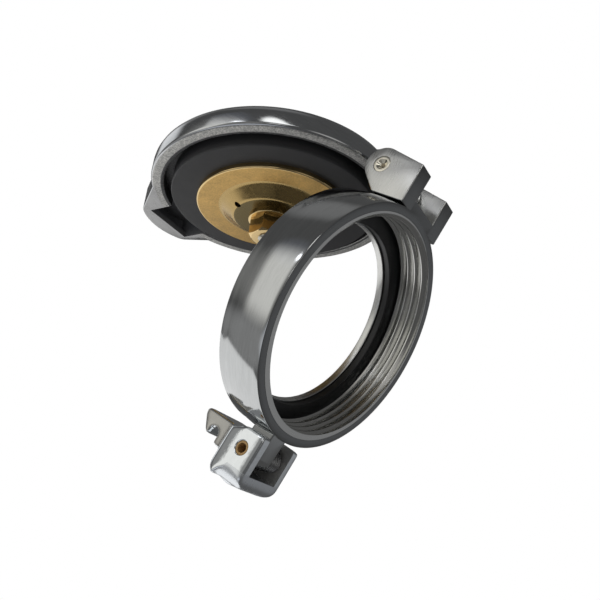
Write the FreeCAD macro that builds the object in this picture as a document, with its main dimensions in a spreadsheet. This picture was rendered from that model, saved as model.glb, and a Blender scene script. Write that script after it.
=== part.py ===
import FreeCAD, Part
import math
import os
import Sketcher

# A hinged cap for a two inch parallel pipe thread, all lengths in millimetres.
# The origin is the centre of the thread's mouth, +Z runs up the thread axis to the lid,
# +Y points to the hinge and -Y to the catch. The lid stands open.

os.makedirs("parts", exist_ok=True)
doc = FreeCAD.newDocument("pipe_cap")
sheet = doc.addObject("Spreadsheet::Sheet", "sizes")
rows = []


class Size:
    """A number, with the expression over the sheet's cells that gives it."""

    def __init__(self, value, text):
        self.value = value
        self.text = text

    def __add__(self, other):
        other = as_size(other)
        return Size(self.value + other.value, f"({self.text} + {other.text})")

    def __sub__(self, other):
        other = as_size(other)
        return Size(self.value - other.value, f"({self.text} - {other.text})")

    def __mul__(self, other):
        other = as_size(other)
        return Size(self.value * other.value, f"({self.text} * {other.text})")

    def __truediv__(self, other):
        other = as_size(other)
        return Size(self.value / other.value, f"({self.text} / {other.text})")

    def __neg__(self):
        return Size(-self.value, f"(-1 * {self.text})")

    def __rmul__(self, other):
        return as_size(other) * self

    def __radd__(self, other):
        return as_size(other) + self

    def __rsub__(self, other):
        return as_size(other) - self


def as_size(number):
    if isinstance(number, Size):
        return number
    return Size(float(number), f"{float(number):.6f}")


def root(size):
    return Size(math.sqrt(size.value), f"sqrt({size.text})")


def cell(name, value):
    """Write one driving dimension into the sheet."""
    rows.append(name)
    place = f"A{len(rows)}"
    sheet.set(place, str(value))
    sheet.setAlias(place, name)
    return Size(float(value), f"sizes.{name}")


# Ring: the screwed body with its seat.
thread_radius = cell("thread_radius", 29.8)
thread_depth = cell("thread_depth", 9.0)
ring_radius = cell("ring_radius", 32.0)
ring_bulge = cell("ring_bulge", 0.45)
bulge_up = cell("bulge_up", 5.85)
ring_edge = cell("ring_edge", 0.6)
gasket_thickness = cell("gasket_thickness", 2.0)
recess_radius = cell("recess_radius", 30.2)
seat_thickness = cell("seat_thickness", 2.0)
seat_bore = cell("seat_bore", 24.1)
gasket_inner = cell("gasket_inner", 24.6)
gasket_play = cell("gasket_play", 0.25)
shoulder_height = thread_depth + gasket_thickness
ring_height = shoulder_height + seat_thickness

# Hinge: two lugs on the ring, the lid's knuckle between them, and a hollow rivet.
hinge_out = cell("hinge_out", 38.4)
hinge_up = cell("hinge_up", 11.0)
lug_boss_radius = cell("lug_boss_radius", 4.8)
lug_half_width = cell("lug_half_width", 11.4)
lug_gap_half = cell("lug_gap_half", 5.9)
lug_foot_out = cell("lug_foot_out", 41.3)
lug_neck_up = cell("lug_neck_up", 9.6)
gap_floor_out = cell("gap_floor_out", 33.9)
knuckle_radius = cell("knuckle_radius", 4.0)
knuckle_play = cell("knuckle_play", 0.3)
knuckle_inset = cell("knuckle_inset", 0.1)
rivet_radius = cell("rivet_radius", 1.6)
rivet_hollow = cell("rivet_hollow", 1.5)
rivet_dish = cell("rivet_dish", 0.7)
rivet_play = cell("rivet_play", 0.05)
rivet_head_radius = cell("rivet_head_radius", 2.3)
rivet_head_depth = cell("rivet_head_depth", 0.8)
rivet_dish_floor = cell("rivet_dish_floor", 0.5)
rivet_edge = cell("rivet_edge", 0.25)
lug_edge = cell("lug_edge", 0.4)

# Lid: a shallow cast cup, its seal and what clamps the seal.
open_angle = cell("open_angle", 60.4)
seal_radius = cell("seal_radius", 29.1)
seal_thickness = cell("seal_thickness", 5.0)
seal_edge = cell("seal_edge", 0.4)
seal_proud = cell("seal_proud", 1.55)
rim_inner = cell("rim_inner", 31.4)
rim_outer = cell("rim_outer", 35.1)
lid_shoulder = cell("lid_shoulder", 3.6)
rim_edge = cell("rim_edge", 1.0)
lid_round = cell("lid_round", 4.0)
lid_dome = cell("lid_dome", 1.4)
crown_flat = cell("crown_flat", 2.0)
arm_top_out = cell("arm_top_out", 37.0)
arm_top_up = cell("arm_top_up", 20.2)
arm_sink_in = cell("arm_sink_in", 1.2)
arm_sink_down = cell("arm_sink_down", 0.8)
arm_edge = cell("arm_edge", 0.5)
seal_face = ring_height
lid_ceiling = seal_face + seal_thickness
rim_face = seal_face + seal_proud
lid_wall_top = rim_face + lid_shoulder
lid_top = lid_wall_top + lid_round

# Retainer, stud, washer and nut under the lid.
retainer_radius = cell("retainer_radius", 21.7)
retainer_thickness = cell("retainer_thickness", 1.5)
retainer_edge = cell("retainer_edge", 0.3)
cone_wall_in = cell("cone_wall_in", 0.6)
cone_foot_radius = cell("cone_foot_radius", 14.7)
cone_top_radius = cell("cone_top_radius", 10.9)
cone_rise = cell("cone_rise", 2.8)
vent_radius = cell("vent_radius", 0.9)
vent_across = cell("vent_across", 9.8)
vent_along = cell("vent_along", 5.0)
stud_radius = cell("stud_radius", 3.0)
stud_play = cell("stud_play", 0.15)
stud_hold = cell("stud_hold", 3.0)
stud_show = cell("stud_show", 0.8)
stud_point = cell("stud_point", 0.5)
washer_radius = cell("washer_radius", 6.4)
washer_thickness = cell("washer_thickness", 0.9)
nut_across_flats = cell("nut_across_flats", 10.0)
nut_thickness = cell("nut_thickness", 5.2)
nut_turn = cell("nut_turn", 12.5)
nut_face_radius = cell("nut_face_radius", 4.8)
nut_corner_run = cell("nut_corner_run", 1.7)
retainer_face = seal_face - retainer_thickness
hub_face = retainer_face - cone_rise
washer_face = hub_face - washer_thickness
nut_face = washer_face - nut_thickness

# Catch pocket at the front of the lid.
pocket_half = cell("pocket_half", 8.5)
pocket_back = cell("pocket_back", 21.0)
pocket_out = cell("pocket_out", 43.0)
pocket_corner_across = cell("pocket_corner_across", 9.9)
pocket_corner_out = cell("pocket_corner_out", 40.3)
pocket_root_right = cell("pocket_root_right", 19.4)
pocket_root_left = cell("pocket_root_left", 13.2)
pocket_wall = cell("pocket_wall", 1.3)
pocket_roof = cell("pocket_roof", 20.9)
pocket_reach = cell("pocket_reach", 29.9)
pocket_root_right_out = cell("pocket_root_right_out", 28.4)
pocket_root_left_out = cell("pocket_root_left_out", 31.8)
pocket_drop = cell("pocket_drop", 0.1)
pocket_corner_round = cell("pocket_corner_round", 1.0)
pocket_edge = cell("pocket_edge", 0.6)
undercut_lap = cell("undercut_lap", 0.5)
undercut_corner = cell("undercut_corner", 0.3)
lip_inner = cell("lip_inner", 38.2)
lip_thickness = cell("lip_thickness", 1.75)
lip_top = rim_face + lip_thickness

# Latch: a cast lever on a tube pin, turned outwards by a torsion spring.
latch_out = cell("latch_out", 37.9)
latch_up = cell("latch_up", 4.3)
latch_half = cell("latch_half", 8.8)
latch_cavity_half = cell("latch_cavity_half", 5.7)
latch_foot_up = cell("latch_foot_up", 0.3)
latch_top_up = cell("latch_top_up", 10.7)
latch_roof_up = cell("latch_roof_up", 8.8)
latch_inner_out = cell("latch_inner_out", 32.9)
latch_roof_inner_out = cell("latch_roof_inner_out", 34.9)
latch_swing_room = cell("latch_swing_room", 1.6)
latch_shoulder_out = cell("latch_shoulder_out", 44.6)
latch_pin_radius = cell("latch_pin_radius", 1.7)
latch_pin_hollow = cell("latch_pin_hollow", 1.2)
latch_pin_play = cell("latch_pin_play", 0.05)
latch_pin_inset = cell("latch_pin_inset", 0.2)
latch_pin_edge = cell("latch_pin_edge", 0.15)
latch_shoulder_up = cell("latch_shoulder_up", 6.1)
latch_round = cell("latch_round", 1.2)
latch_wall = cell("latch_wall", 1.0)
tab_out = cell("tab_out", 47.4)
tab_foot_out = cell("tab_foot_out", 46.4)
tab_brow_in = cell("tab_brow_in", 0.9)
tab_brow_down = cell("tab_brow_down", 1.4)
tab_front_down = cell("tab_front_down", 4.0)
tab_edge = cell("tab_edge", 1.0)
scoop_radius = cell("scoop_radius", 7.2)
scoop_across = cell("scoop_across", 12.0)
scoop_out = cell("scoop_out", 48.6)
scoop_up = cell("scoop_up", 2.6)
nose_half = cell("nose_half", 7.2)
nose_tip_out = cell("nose_tip_out", 34.5)
nose_tip_up = cell("nose_tip_up", 20.3)
nose_slope_out = cell("nose_slope_out", 39.0)
nose_slope_up = cell("nose_slope_up", 18.1)
hook_out = cell("hook_out", 39.9)
hook_clearance = cell("hook_clearance", 0.2)
hook_edge = cell("hook_edge", 0.5)
hook_throat_out = cell("hook_throat_out", 37.6)
throat_mouth = cell("throat_mouth", 0.35)
throat_depth = cell("throat_depth", 1.1)
throat_lift = cell("throat_lift", 0.3)
nose_sink = cell("nose_sink", 0.5)
nose_edge = cell("nose_edge", 0.5)
nose_root_out = cell("nose_root_out", 41.3)
nose_root_up = cell("nose_root_up", 12.9)
latch_lug_radius = cell("latch_lug_radius", 3.2)
latch_lug_right = cell("latch_lug_right", 5.4)
latch_lug_left = cell("latch_lug_left", 0.6)
latch_lug_low = cell("latch_lug_low", 0.6)
latch_lug_high = cell("latch_lug_high", 7.0)
hook_under = lip_top + hook_clearance
latch_cavity_out = latch_out + latch_lug_radius + latch_swing_room

# Torsion spring on the latch pin, beside the ring's lug.
spring_wire = cell("spring_wire", 0.75)
spring_radius = cell("spring_radius", 2.55)
spring_turns = cell("spring_turns", 4.3333)
spring_gap = cell("spring_gap", 0.05)
spring_start_angle = cell("spring_start_angle", -30)
spring_leg_play = cell("spring_leg_play", 0.1)
doc.recompute()


def plane_of(body, role):
    """One of a body's own origin planes, by its role."""
    for feature in body.Origin.OriginFeatures:
        if feature.Role == role:
            return feature
    raise ValueError(f"{body.Label} has no {role}")


def new_body(name):
    body = doc.addObject("PartDesign::Body", name)
    body.Label = name
    return body


def new_sketch(body, role, name, lift=None):
    """A sketch on an origin plane, lifted off it by a size if one is given."""
    sketch = body.newObject("Sketcher::SketchObject", name)
    sketch.AttachmentSupport = [(plane_of(body, role), "")]
    sketch.MapMode = "FlatFace"
    if lift is not None:
        lift = as_size(lift)
        sketch.setExpression("AttachmentOffset.Base.z", lift.text)
    return sketch


def pin_point(sketch, geometry, end, across, up):
    """Hold a point at its place from the sketch's origin, bound to the sheet."""
    for kind, axis, size in (("DistanceX", -2, as_size(across)), ("DistanceY", -1, as_size(up))):
        if size.value == 0:
            sketch.addConstraint(Sketcher.Constraint("PointOnObject", geometry, end, axis))
            continue
        index = sketch.addConstraint(Sketcher.Constraint(kind, -1, 1, geometry, end, size.value))
        sketch.setExpression(f"Constraints[{index}]", size.text)


def flat_point(across, up):
    return FreeCAD.Vector(as_size(across).value, as_size(up).value, 0)


def outline(sketch, corners):
    """A closed outline. A corner with two more sizes starts an arc through that middle point."""
    count = len(corners)
    edges = []
    for place, corner in enumerate(corners):
        start = flat_point(*corner[:2])
        finish = flat_point(*corners[(place + 1) % count][:2])
        if len(corner) == 2:
            index = sketch.addGeometry(Part.LineSegment(start, finish), False)
            edges.append((index, 1, 2))
            continue
        middle = flat_point(*corner[2:])
        clockwise = (middle - start).cross(finish - middle).z < 0
        curve = Part.Arc(finish, middle, start) if clockwise else Part.Arc(start, middle, finish)
        index = sketch.addGeometry(curve, False)
        edges.append((index, 2, 1) if clockwise else (index, 1, 2))
    for place, corner in enumerate(corners):
        index, first, last = edges[place]
        after, after_first, _ = edges[(place + 1) % count]
        sketch.addConstraint(Sketcher.Constraint("Coincident", index, last, after, after_first))
        pin_point(sketch, index, first, *corner[:2])
        if len(corner) == 4:
            middle = sketch.addGeometry(Part.Point(flat_point(*corner[2:])), True)
            pin_point(sketch, middle, 1, *corner[2:])
            sketch.addConstraint(Sketcher.Constraint("PointOnObject", middle, 1, index))


def circle(sketch, across, up, radius):
    radius = as_size(radius)
    shape = Part.Circle(flat_point(across, up), FreeCAD.Vector(0, 0, 1), radius.value)
    index = sketch.addGeometry(shape, False)
    pin_point(sketch, index, 3, across, up)
    held = sketch.addConstraint(Sketcher.Constraint("Radius", index, radius.value))
    sketch.setExpression(f"Constraints[{held}]", radius.text)


def pad(body, sketch, length, both_sides=False, back=None):
    """Pad a sketch along its plane's normal, to both sides, or by a second length backwards."""
    feature = body.newObject("PartDesign::Pad", sketch.Name + "_pad")
    feature.Profile = sketch
    feature.setExpression("Length", as_size(length).text)
    if back is not None:
        feature.SideType = "Two sides"
        feature.setExpression("Length2", as_size(back).text)
    if both_sides:
        feature.SideType = "Symmetric"
    body.Tip = feature
    doc.recompute()
    return feature


def pocket(body, sketch, length, both_sides=False, towards_normal=False):
    """Cut a sketch out of the body and stop if nothing was cut."""
    before = body.Shape.Volume
    feature = body.newObject("PartDesign::Pocket", sketch.Name + "_pocket")
    feature.Profile = sketch
    feature.setExpression("Length", as_size(length).text)
    if both_sides:
        feature.SideType = "Symmetric"
    feature.Reversed = towards_normal
    body.Tip = feature
    doc.recompute()
    if before - body.Shape.Volume < 1e-3:
        raise ValueError(f"{sketch.Name} cuts nothing")
    return feature


def revolve(body, sketch):
    feature = body.newObject("PartDesign::Revolution", sketch.Name + "_turned")
    feature.Profile = sketch
    feature.ReferenceAxis = (sketch, ["V_Axis"])
    feature.Angle = 360
    body.Tip = feature
    doc.recompute()
    return feature


def edges_where(shape, test):
    return [f"Edge{number}" for number, edge in enumerate(shape.Edges, 1) if test(edge)]


def round_edges(body, radius, test):
    """Round each edge that the test picks."""
    base = body.Tip
    names = edges_where(base.Shape, test)
    if not names:
        raise ValueError(f"no edge of {body.Label} to round")
    feature = body.newObject("PartDesign::Fillet", base.Name + "_round")
    feature.Base = (base, names)
    feature.setExpression("Radius", as_size(radius).text)
    body.Tip = feature
    doc.recompute()
    return feature


def tangent_point(across, up, centre_across, centre_up, radius, side):
    """Where a line from a point touches a circle; side is +1 to its left, -1 to its right."""
    run = as_size(across) - centre_across
    rise = as_size(up) - centre_up
    square = run * run + rise * rise
    reach = root(square - radius * radius)
    touch_across = centre_across + (radius * radius * run + side * radius * reach * rise) / square
    touch_up = centre_up + (radius * radius * rise - side * radius * reach * run) / square
    return touch_across, touch_up


def far_point(centre_across, centre_up, radius, angle):
    """A point on a circle, at an angle in degrees."""
    turn = math.radians(angle)
    return centre_across + radius * math.cos(turn), centre_up + radius * math.sin(turn)


def make_body_ring():
    """The cast ring: threaded bore, gasket shoulder, seat, hinge lugs and the latch's lug."""
    body = new_body("body_ring")
    wall = new_sketch(body, "XZ_Plane", "ring_section")
    outline(wall, [
        (thread_radius, 0),
        (ring_radius, 0, ring_radius + ring_bulge, bulge_up),
        (ring_radius, ring_height - ring_edge),
        (ring_radius - ring_edge, ring_height),
        (seat_bore + ring_edge, ring_height),
        (seat_bore, ring_height - ring_edge),
        (seat_bore, shoulder_height),
        (recess_radius, shoulder_height),
        (recess_radius, thread_depth),
        (thread_radius, thread_depth),
    ])
    revolve(body, wall)
    inside = (thread_radius + ring_radius) / 2

    lugs = new_sketch(body, "YZ_Plane", "hinge_lugs")
    outline(lugs, [
        (inside, 0),
        (lug_foot_out, 0),
        tangent_point(lug_foot_out, 0, hinge_out, hinge_up, lug_boss_radius, -1)
        + far_point(hinge_out, hinge_up, lug_boss_radius, 45),
        tangent_point(inside, lug_neck_up, hinge_out, hinge_up, lug_boss_radius, 1),
        (inside, lug_neck_up),
    ])
    pad(body, lugs, 2 * lug_half_width, both_sides=True)
    gap = new_sketch(body, "YZ_Plane", "hinge_gap")
    outline(gap, [
        (gap_floor_out, -1),
        (hinge_out + 2 * lug_boss_radius, -1),
        (hinge_out + 2 * lug_boss_radius, hinge_up + 2 * lug_boss_radius),
        (gap_floor_out, hinge_up + 2 * lug_boss_radius),
    ])
    pocket(body, gap, 2 * lug_gap_half, both_sides=True)
    round_edges(body, lug_edge, hinge_lug_edge)

    ear = new_sketch(body, "YZ_Plane", "latch_lug")
    outline(ear, [
        (-inside, latch_lug_low),
        (-inside, latch_lug_high),
        tangent_point(-inside, latch_lug_high, -latch_out, latch_up, latch_lug_radius, -1)
        + far_point(-latch_out, latch_up, latch_lug_radius, 180),
        tangent_point(-inside, latch_lug_low, -latch_out, latch_up, latch_lug_radius, 1),
    ])
    pad(body, ear, latch_lug_right, back=latch_lug_left)

    hinge_bore = new_sketch(body, "YZ_Plane", "hinge_bore")
    circle(hinge_bore, hinge_out, hinge_up, rivet_radius)
    pocket(body, hinge_bore, 2 * lug_half_width + 1, both_sides=True)
    for side, role in ((1, "right"), (-1, "left")):
        seat = new_sketch(body, "YZ_Plane", f"rivet_seat_{role}", lift=side * lug_half_width)
        circle(seat, hinge_out, hinge_up, rivet_head_radius)
        pocket(body, seat, rivet_head_depth, towards_normal=side < 0)
    latch_bore = new_sketch(body, "YZ_Plane", "latch_bore")
    circle(latch_bore, -latch_out, latch_up, latch_pin_radius + latch_pin_play)
    pocket(body, latch_bore, 2 * latch_half, both_sides=True)
    return body


def hinge_lug_edge(edge):
    """The edges round both faces of each hinge lug, apart from its foot and the gap's floor."""
    box = edge.BoundBox
    faces = (lug_half_width.value, lug_gap_half.value)
    in_a_face = box.XLength < 1e-6 and min(abs(abs(box.XMax) - face) for face in faces) < 1e-6
    on_the_foot = box.ZMax < 1e-6
    on_the_floor = box.YMax < gap_floor_out.value + 1e-6
    return in_a_face and not on_the_foot and not on_the_floor


def make_pipe_gasket():
    """The flat rubber ring that the pipe's end is screwed against."""
    body = new_body("pipe_gasket")
    section = new_sketch(body, "XZ_Plane", "gasket_section")
    outline(section, [
        (gasket_inner, thread_depth),
        (recess_radius - gasket_play, thread_depth),
        (recess_radius - gasket_play, shoulder_height),
        (gasket_inner, shoulder_height),
    ])
    revolve(body, section)
    return body


def turned_across(name, profile, out, up):
    """A piece turned about a line along X, given as (along X, radius) corners."""
    body = new_body(name)
    section = new_sketch(body, "XY_Plane", f"{name}_section")
    outline(section, profile)
    feature = body.newObject("PartDesign::Revolution", f"{name}_turned")
    feature.Profile = section
    feature.ReferenceAxis = (section, ["H_Axis"])
    feature.Angle = 360
    body.Tip = feature
    body.setExpression("Placement.Base.y", as_size(out).text)
    body.setExpression("Placement.Base.z", as_size(up).text)
    return body


def make_hinge_pin():
    """The rivet through both lugs, its heads flared into their seats and dished."""
    end = lug_half_width
    neck = lug_half_width - rivet_head_depth
    crown = rivet_head_radius - rivet_edge
    return turned_across("hinge_pin", [
        (rivet_dish - end, 0),
        (rivet_dish - end, rivet_dish_floor),
        (-end, rivet_hollow),
        (-end, crown),
        (rivet_edge - end, rivet_head_radius),
        (-neck, rivet_head_radius),
        (-neck, rivet_radius),
        (neck, rivet_radius),
        (neck, rivet_head_radius),
        (end - rivet_edge, rivet_head_radius),
        (end, crown),
        (end, rivet_hollow),
        (end - rivet_dish, rivet_dish_floor),
        (end - rivet_dish, 0),
    ], hinge_out, hinge_up)


def make_latch_pin():
    """The tube pin that the lever turns on, pressed into its cheeks."""
    end = latch_half - latch_pin_inset
    return turned_across("latch_pin", [
        (-end, latch_pin_hollow),
        (-end, latch_pin_radius - latch_pin_edge),
        (latch_pin_edge - end, latch_pin_radius),
        (end - latch_pin_edge, latch_pin_radius),
        (end, latch_pin_radius - latch_pin_edge),
        (end, latch_pin_hollow),
    ], -latch_out, latch_up)


# A shallow arc has about three quarters of its rise half way out.
DOME_RISE_HALF_WAY = 0.75


def make_lid_shell():
    """The cast lid, drawn shut: a cup with a hinge arm behind and a catch pocket in front."""
    body = new_body("lid_shell")
    section = new_sketch(body, "XZ_Plane", "lid_section")
    rounded = 1 - math.sqrt(0.5)
    rounding = lid_round * rounded
    dome_foot = rim_outer - lid_round
    dome_middle = (dome_foot + crown_flat) / 2
    dome_middle_up = lid_top + lid_dome * DOME_RISE_HALF_WAY
    outline(section, [
        (0, rim_face),
        (rim_outer - rim_edge, rim_face, rim_outer - rim_edge * rounded, rim_face + rim_edge * rounded),
        (rim_outer, rim_face + rim_edge),
        (rim_outer, lid_wall_top, rim_outer - rounding, lid_top - rounding),
        (dome_foot, lid_top, dome_middle, dome_middle_up),
        (crown_flat, lid_top + lid_dome),
        (0, lid_top + lid_dome),
    ])
    revolve(body, section)

    front = new_sketch(body, "XY_Plane", "catch_front", lift=rim_face)
    outline(front, [
        (-pocket_half, -pocket_back),
        (-pocket_root_left, -pocket_root_left_out),
        (-pocket_corner_across, -pocket_corner_out, 0, -pocket_out),
        (pocket_corner_across, -pocket_corner_out),
        (pocket_root_right, -pocket_root_right_out),
        (pocket_half, -pocket_back),
    ])
    pad(body, front, lid_top - rim_face - pocket_drop)

    arm = new_sketch(body, "YZ_Plane", "hinge_arm")
    arm_inner = gap_floor_out + knuckle_inset
    outline(arm, [
        (arm_inner, rim_face),
        tangent_point(arm_inner, rim_face, hinge_out, hinge_up, knuckle_radius, -1)
        + far_point(hinge_out, hinge_up, knuckle_radius, -70),
        tangent_point(arm_top_out, arm_top_up, hinge_out, hinge_up, knuckle_radius, 1),
        (arm_top_out, arm_top_up),
        (dome_foot - arm_sink_in, lid_top - arm_sink_down),
    ])
    pad(body, arm, 2 * (lug_gap_half - knuckle_play), both_sides=True)
    round_edges(body, arm_edge, hinge_arm_edge)
    round_edges(body, pocket_corner_round, catch_corner)
    round_edges(body, pocket_edge, catch_roof_edge)

    cup = new_sketch(body, "XY_Plane", "seal_recess", lift=rim_face)
    circle(cup, 0, 0, rim_inner)
    pocket(body, cup, lid_ceiling - rim_face, towards_normal=True)
    mouth = new_sketch(body, "XY_Plane", "catch_mouth", lift=rim_face)
    outline(mouth, [
        (-pocket_half, -pocket_reach),
        (-pocket_half, -lip_inner),
        (pocket_half, -lip_inner),
        (pocket_half, -pocket_reach),
    ])
    pocket(body, mouth, pocket_roof - rim_face, towards_normal=True)
    undercut = new_sketch(body, "XY_Plane", "catch_undercut", lift=lip_top)
    outline(undercut, [
        (-pocket_half, undercut_lap - lip_inner),
        (-pocket_half, undercut_corner - pocket_corner_out, 0, pocket_wall - pocket_out),
        (pocket_half, undercut_corner - pocket_corner_out),
        (pocket_half, undercut_lap - lip_inner),
    ])
    pocket(body, undercut, pocket_roof - lip_top, towards_normal=True)

    bore = new_sketch(body, "YZ_Plane", "knuckle_bore")
    circle(bore, hinge_out, hinge_up, rivet_radius + rivet_play)
    pocket(body, bore, 2 * lug_half_width, both_sides=True)
    stud_hole = new_sketch(body, "XY_Plane", "stud_hole", lift=lid_ceiling)
    circle(stud_hole, 0, 0, stud_radius)
    pocket(body, stud_hole, stud_hold, towards_normal=True)
    return body


def hinge_arm_edge(edge):
    """The edges round both faces of the hinge arm, outside the lid."""
    box = edge.BoundBox
    in_a_face = box.XLength < 1e-6 and abs(abs(box.XMax) - (lug_gap_half - knuckle_play).value) < 1e-6
    return in_a_face and box.YMax > rim_outer.value and box.YMin > gap_floor_out.value - 1


def catch_corner(edge):
    """The two upright corners of the catch pocket, outside the lid."""
    box = edge.BoundBox
    upright = box.XLength < 1e-6 and box.YLength < 1e-6 and box.ZLength > pocket_corner_round.value
    return upright and box.YMax < -rim_outer.value


def catch_roof_edge(edge):
    """The outer edge of the catch pocket's roof."""
    box = edge.BoundBox
    on_roof = box.ZMin > (lid_top - pocket_drop).value - 1e-6
    return on_roof and box.YMax < -pocket_root_right_out.value + 1e-6 and box.YMin < -rim_outer.value


def make_seal_disc():
    """The thick rubber disc that closes the seat."""
    body = new_body("seal_disc")
    section = new_sketch(body, "XZ_Plane", "seal_section")
    outline(section, [
        (stud_radius + stud_play, seal_face),
        (seal_radius - seal_edge, seal_face),
        (seal_radius, seal_face + seal_edge),
        (seal_radius, lid_ceiling),
        (stud_radius + stud_play, lid_ceiling),
    ])
    revolve(body, section)
    return body


def make_retainer_disc():
    """The pressed brass plate: a flat rim on the rubber, a raised hub and a vent hole."""
    body = new_body("retainer_disc")
    section = new_sketch(body, "XZ_Plane", "retainer_section")
    outline(section, [
        (stud_radius + stud_play, hub_face),
        (cone_top_radius, hub_face),
        (cone_foot_radius, retainer_face),
        (retainer_radius - retainer_edge, retainer_face),
        (retainer_radius, retainer_face + retainer_edge),
        (retainer_radius, seal_face),
        (cone_foot_radius - cone_wall_in, seal_face),
        (cone_top_radius - cone_wall_in, hub_face + retainer_thickness),
        (stud_radius + stud_play, hub_face + retainer_thickness),
    ])
    revolve(body, section)
    vent = new_sketch(body, "XY_Plane", "vent_hole")
    circle(vent, vent_across, -vent_along, vent_radius)
    pocket(body, vent, 2 * seal_face, both_sides=True)
    return body


def make_centre_stud():
    """The threaded stud in the lid's middle that the nut pulls on."""
    body = new_body("centre_stud")
    section = new_sketch(body, "XZ_Plane", "stud_section")
    outline(section, [
        (0, nut_face - stud_show),
        (stud_radius - stud_point, nut_face - stud_show),
        (stud_radius, nut_face - stud_show + stud_point),
        (stud_radius, lid_ceiling + stud_hold),
        (0, lid_ceiling + stud_hold),
    ])
    revolve(body, section)
    return body


def cylinder(name, radius, height, up):
    shape = doc.addObject("Part::Cylinder", name)
    shape.setExpression("Radius", as_size(radius).text)
    shape.setExpression("Height", as_size(height).text)
    shape.setExpression("Placement.Base.z", as_size(up).text)
    return shape


def make_nut_washer():
    disc = cylinder("washer_disc", washer_radius, washer_thickness, washer_face)
    hole = cylinder("washer_hole", stud_radius + stud_play, washer_thickness + 2, washer_face - 1)
    washer = doc.addObject("Part::Cut", "nut_washer")
    washer.Base = disc
    washer.Tool = hole
    washer.Label = "nut_washer"
    return washer


def make_centre_nut():
    """A hexagon nut with its outer corners turned off."""
    corner_radius = nut_across_flats / math.sqrt(3)
    prism = doc.addObject("Part::Prism", "nut_prism")
    prism.Polygon = 6
    prism.setExpression("Circumradius", corner_radius.text)
    prism.setExpression("Height", nut_thickness.text)
    prism.setExpression("Placement.Base.z", nut_face.text)
    prism.Placement.Rotation = FreeCAD.Rotation(FreeCAD.Vector(0, 0, 1), nut_turn.value)
    cone = doc.addObject("Part::Cone", "nut_cone")
    cone.setExpression("Radius1", nut_face_radius.text)
    cone.setExpression("Radius2", (nut_face_radius + nut_thickness * nut_corner_run).text)
    cone.setExpression("Height", nut_thickness.text)
    cone.setExpression("Placement.Base.z", nut_face.text)
    turned = doc.addObject("Part::Common", "nut_turned")
    turned.Base = prism
    turned.Tool = cone
    hole = cylinder("nut_hole", stud_radius, nut_thickness + 2, nut_face - 1)
    nut = doc.addObject("Part::Cut", "centre_nut")
    nut.Base = turned
    nut.Tool = hole
    nut.Label = "centre_nut"
    return nut


def make_latch_lever():
    """The cast lever: two cheeks on the pin, a finger tab outside and the hooked nose above."""
    body = new_body("latch_lever")
    block = new_sketch(body, "YZ_Plane", "lever_block")
    outline(block, [
        (-latch_inner_out, latch_foot_up),
        (-latch_inner_out, latch_shoulder_up),
        (-latch_roof_inner_out, latch_top_up),
        (-latch_shoulder_out, latch_top_up, tab_brow_in - tab_out, latch_top_up - tab_brow_down),
        (-tab_out, latch_top_up - tab_front_down),
        (-tab_foot_out, latch_foot_up + tab_edge),
        (tab_edge - tab_foot_out, latch_foot_up),
    ])
    pad(body, block, 2 * latch_half, both_sides=True)
    for side, role in ((1, "right"), (-1, "left")):
        scoop = body.newObject("PartDesign::SubtractiveSphere", f"finger_scoop_{role}")
        scoop.setExpression("Radius", scoop_radius.text)
        scoop.Placement = FreeCAD.Placement()
        scoop.AttachmentOffset = FreeCAD.Placement()
        scoop.AttachmentSupport = [(plane_of(body, "XY_Plane"), "")]
        scoop.MapMode = "FlatFace"
        scoop.setExpression("AttachmentOffset.Base.x", (side * scoop_across).text)
        scoop.setExpression("AttachmentOffset.Base.y", (-scoop_out).text)
        scoop.setExpression("AttachmentOffset.Base.z", scoop_up.text)
        body.Tip = scoop
        doc.recompute()
    round_edges(body, latch_round, latch_outer_edge)
    nose = new_sketch(body, "YZ_Plane", "lever_nose")
    throat_up = (hook_under + nose_root_up) / 2 + throat_lift
    outline(nose, [
        (-latch_roof_inner_out, latch_roof_up + nose_sink),
        (-nose_tip_out, nose_tip_up - nose_edge),
        (-(nose_tip_out + nose_edge), nose_tip_up),
        (-nose_slope_out, nose_slope_up),
        (-hook_out, hook_under + hook_edge),
        (hook_edge - hook_out, hook_under),
        (-(hook_throat_out + throat_mouth), hook_under, -hook_throat_out, throat_up),
        (-(hook_throat_out + throat_depth), nose_root_up + hook_edge),
        (-nose_root_out, nose_root_up),
        (-(nose_root_out + nose_edge), latch_roof_up + nose_sink),
    ])
    pad(body, nose, 2 * nose_half, both_sides=True)
    hollow = new_sketch(body, "YZ_Plane", "lever_hollow")
    outline(hollow, [
        (latch_wall - latch_inner_out, latch_foot_up - latch_wall),
        (latch_wall - latch_inner_out, latch_roof_up),
        (-latch_cavity_out, latch_roof_up),
        (-latch_cavity_out, latch_foot_up - latch_wall),
    ])
    pocket(body, hollow, 2 * latch_cavity_half, both_sides=True)
    bore = new_sketch(body, "YZ_Plane", "lever_bore")
    circle(bore, -latch_out, latch_up, latch_pin_radius)
    pocket(body, bore, 2 * latch_half + 1, both_sides=True)
    return body


def latch_outer_edge(edge):
    """The long edges of the lever's block, away from the scoops and the ring."""
    box = edge.BoundBox
    flat_cheek = box.XLength < 1e-6 and abs(abs(box.XMax) - latch_half.value) < 1e-6
    above = box.ZMin > latch_top_up.value - 0.1 and box.YMax < -latch_roof_inner_out.value + 0.1
    below = box.ZMax < latch_foot_up.value + 0.1
    front = abs(box.YMax + latch_inner_out.value) < 1e-6 and box.YLength < 1e-6
    return flat_cheek and (above or below or front)


def coil_point(share):
    """A point on the spring's coil, from 0 at the ring's leg to 1 at the lever's."""
    turn = -2 * math.pi * spring_turns.value * share
    radius = spring_radius.value
    along = (spring_wire.value + spring_gap.value) * spring_turns.value * share
    return FreeCAD.Vector(radius * math.cos(turn), radius * math.sin(turn), along)


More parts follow.
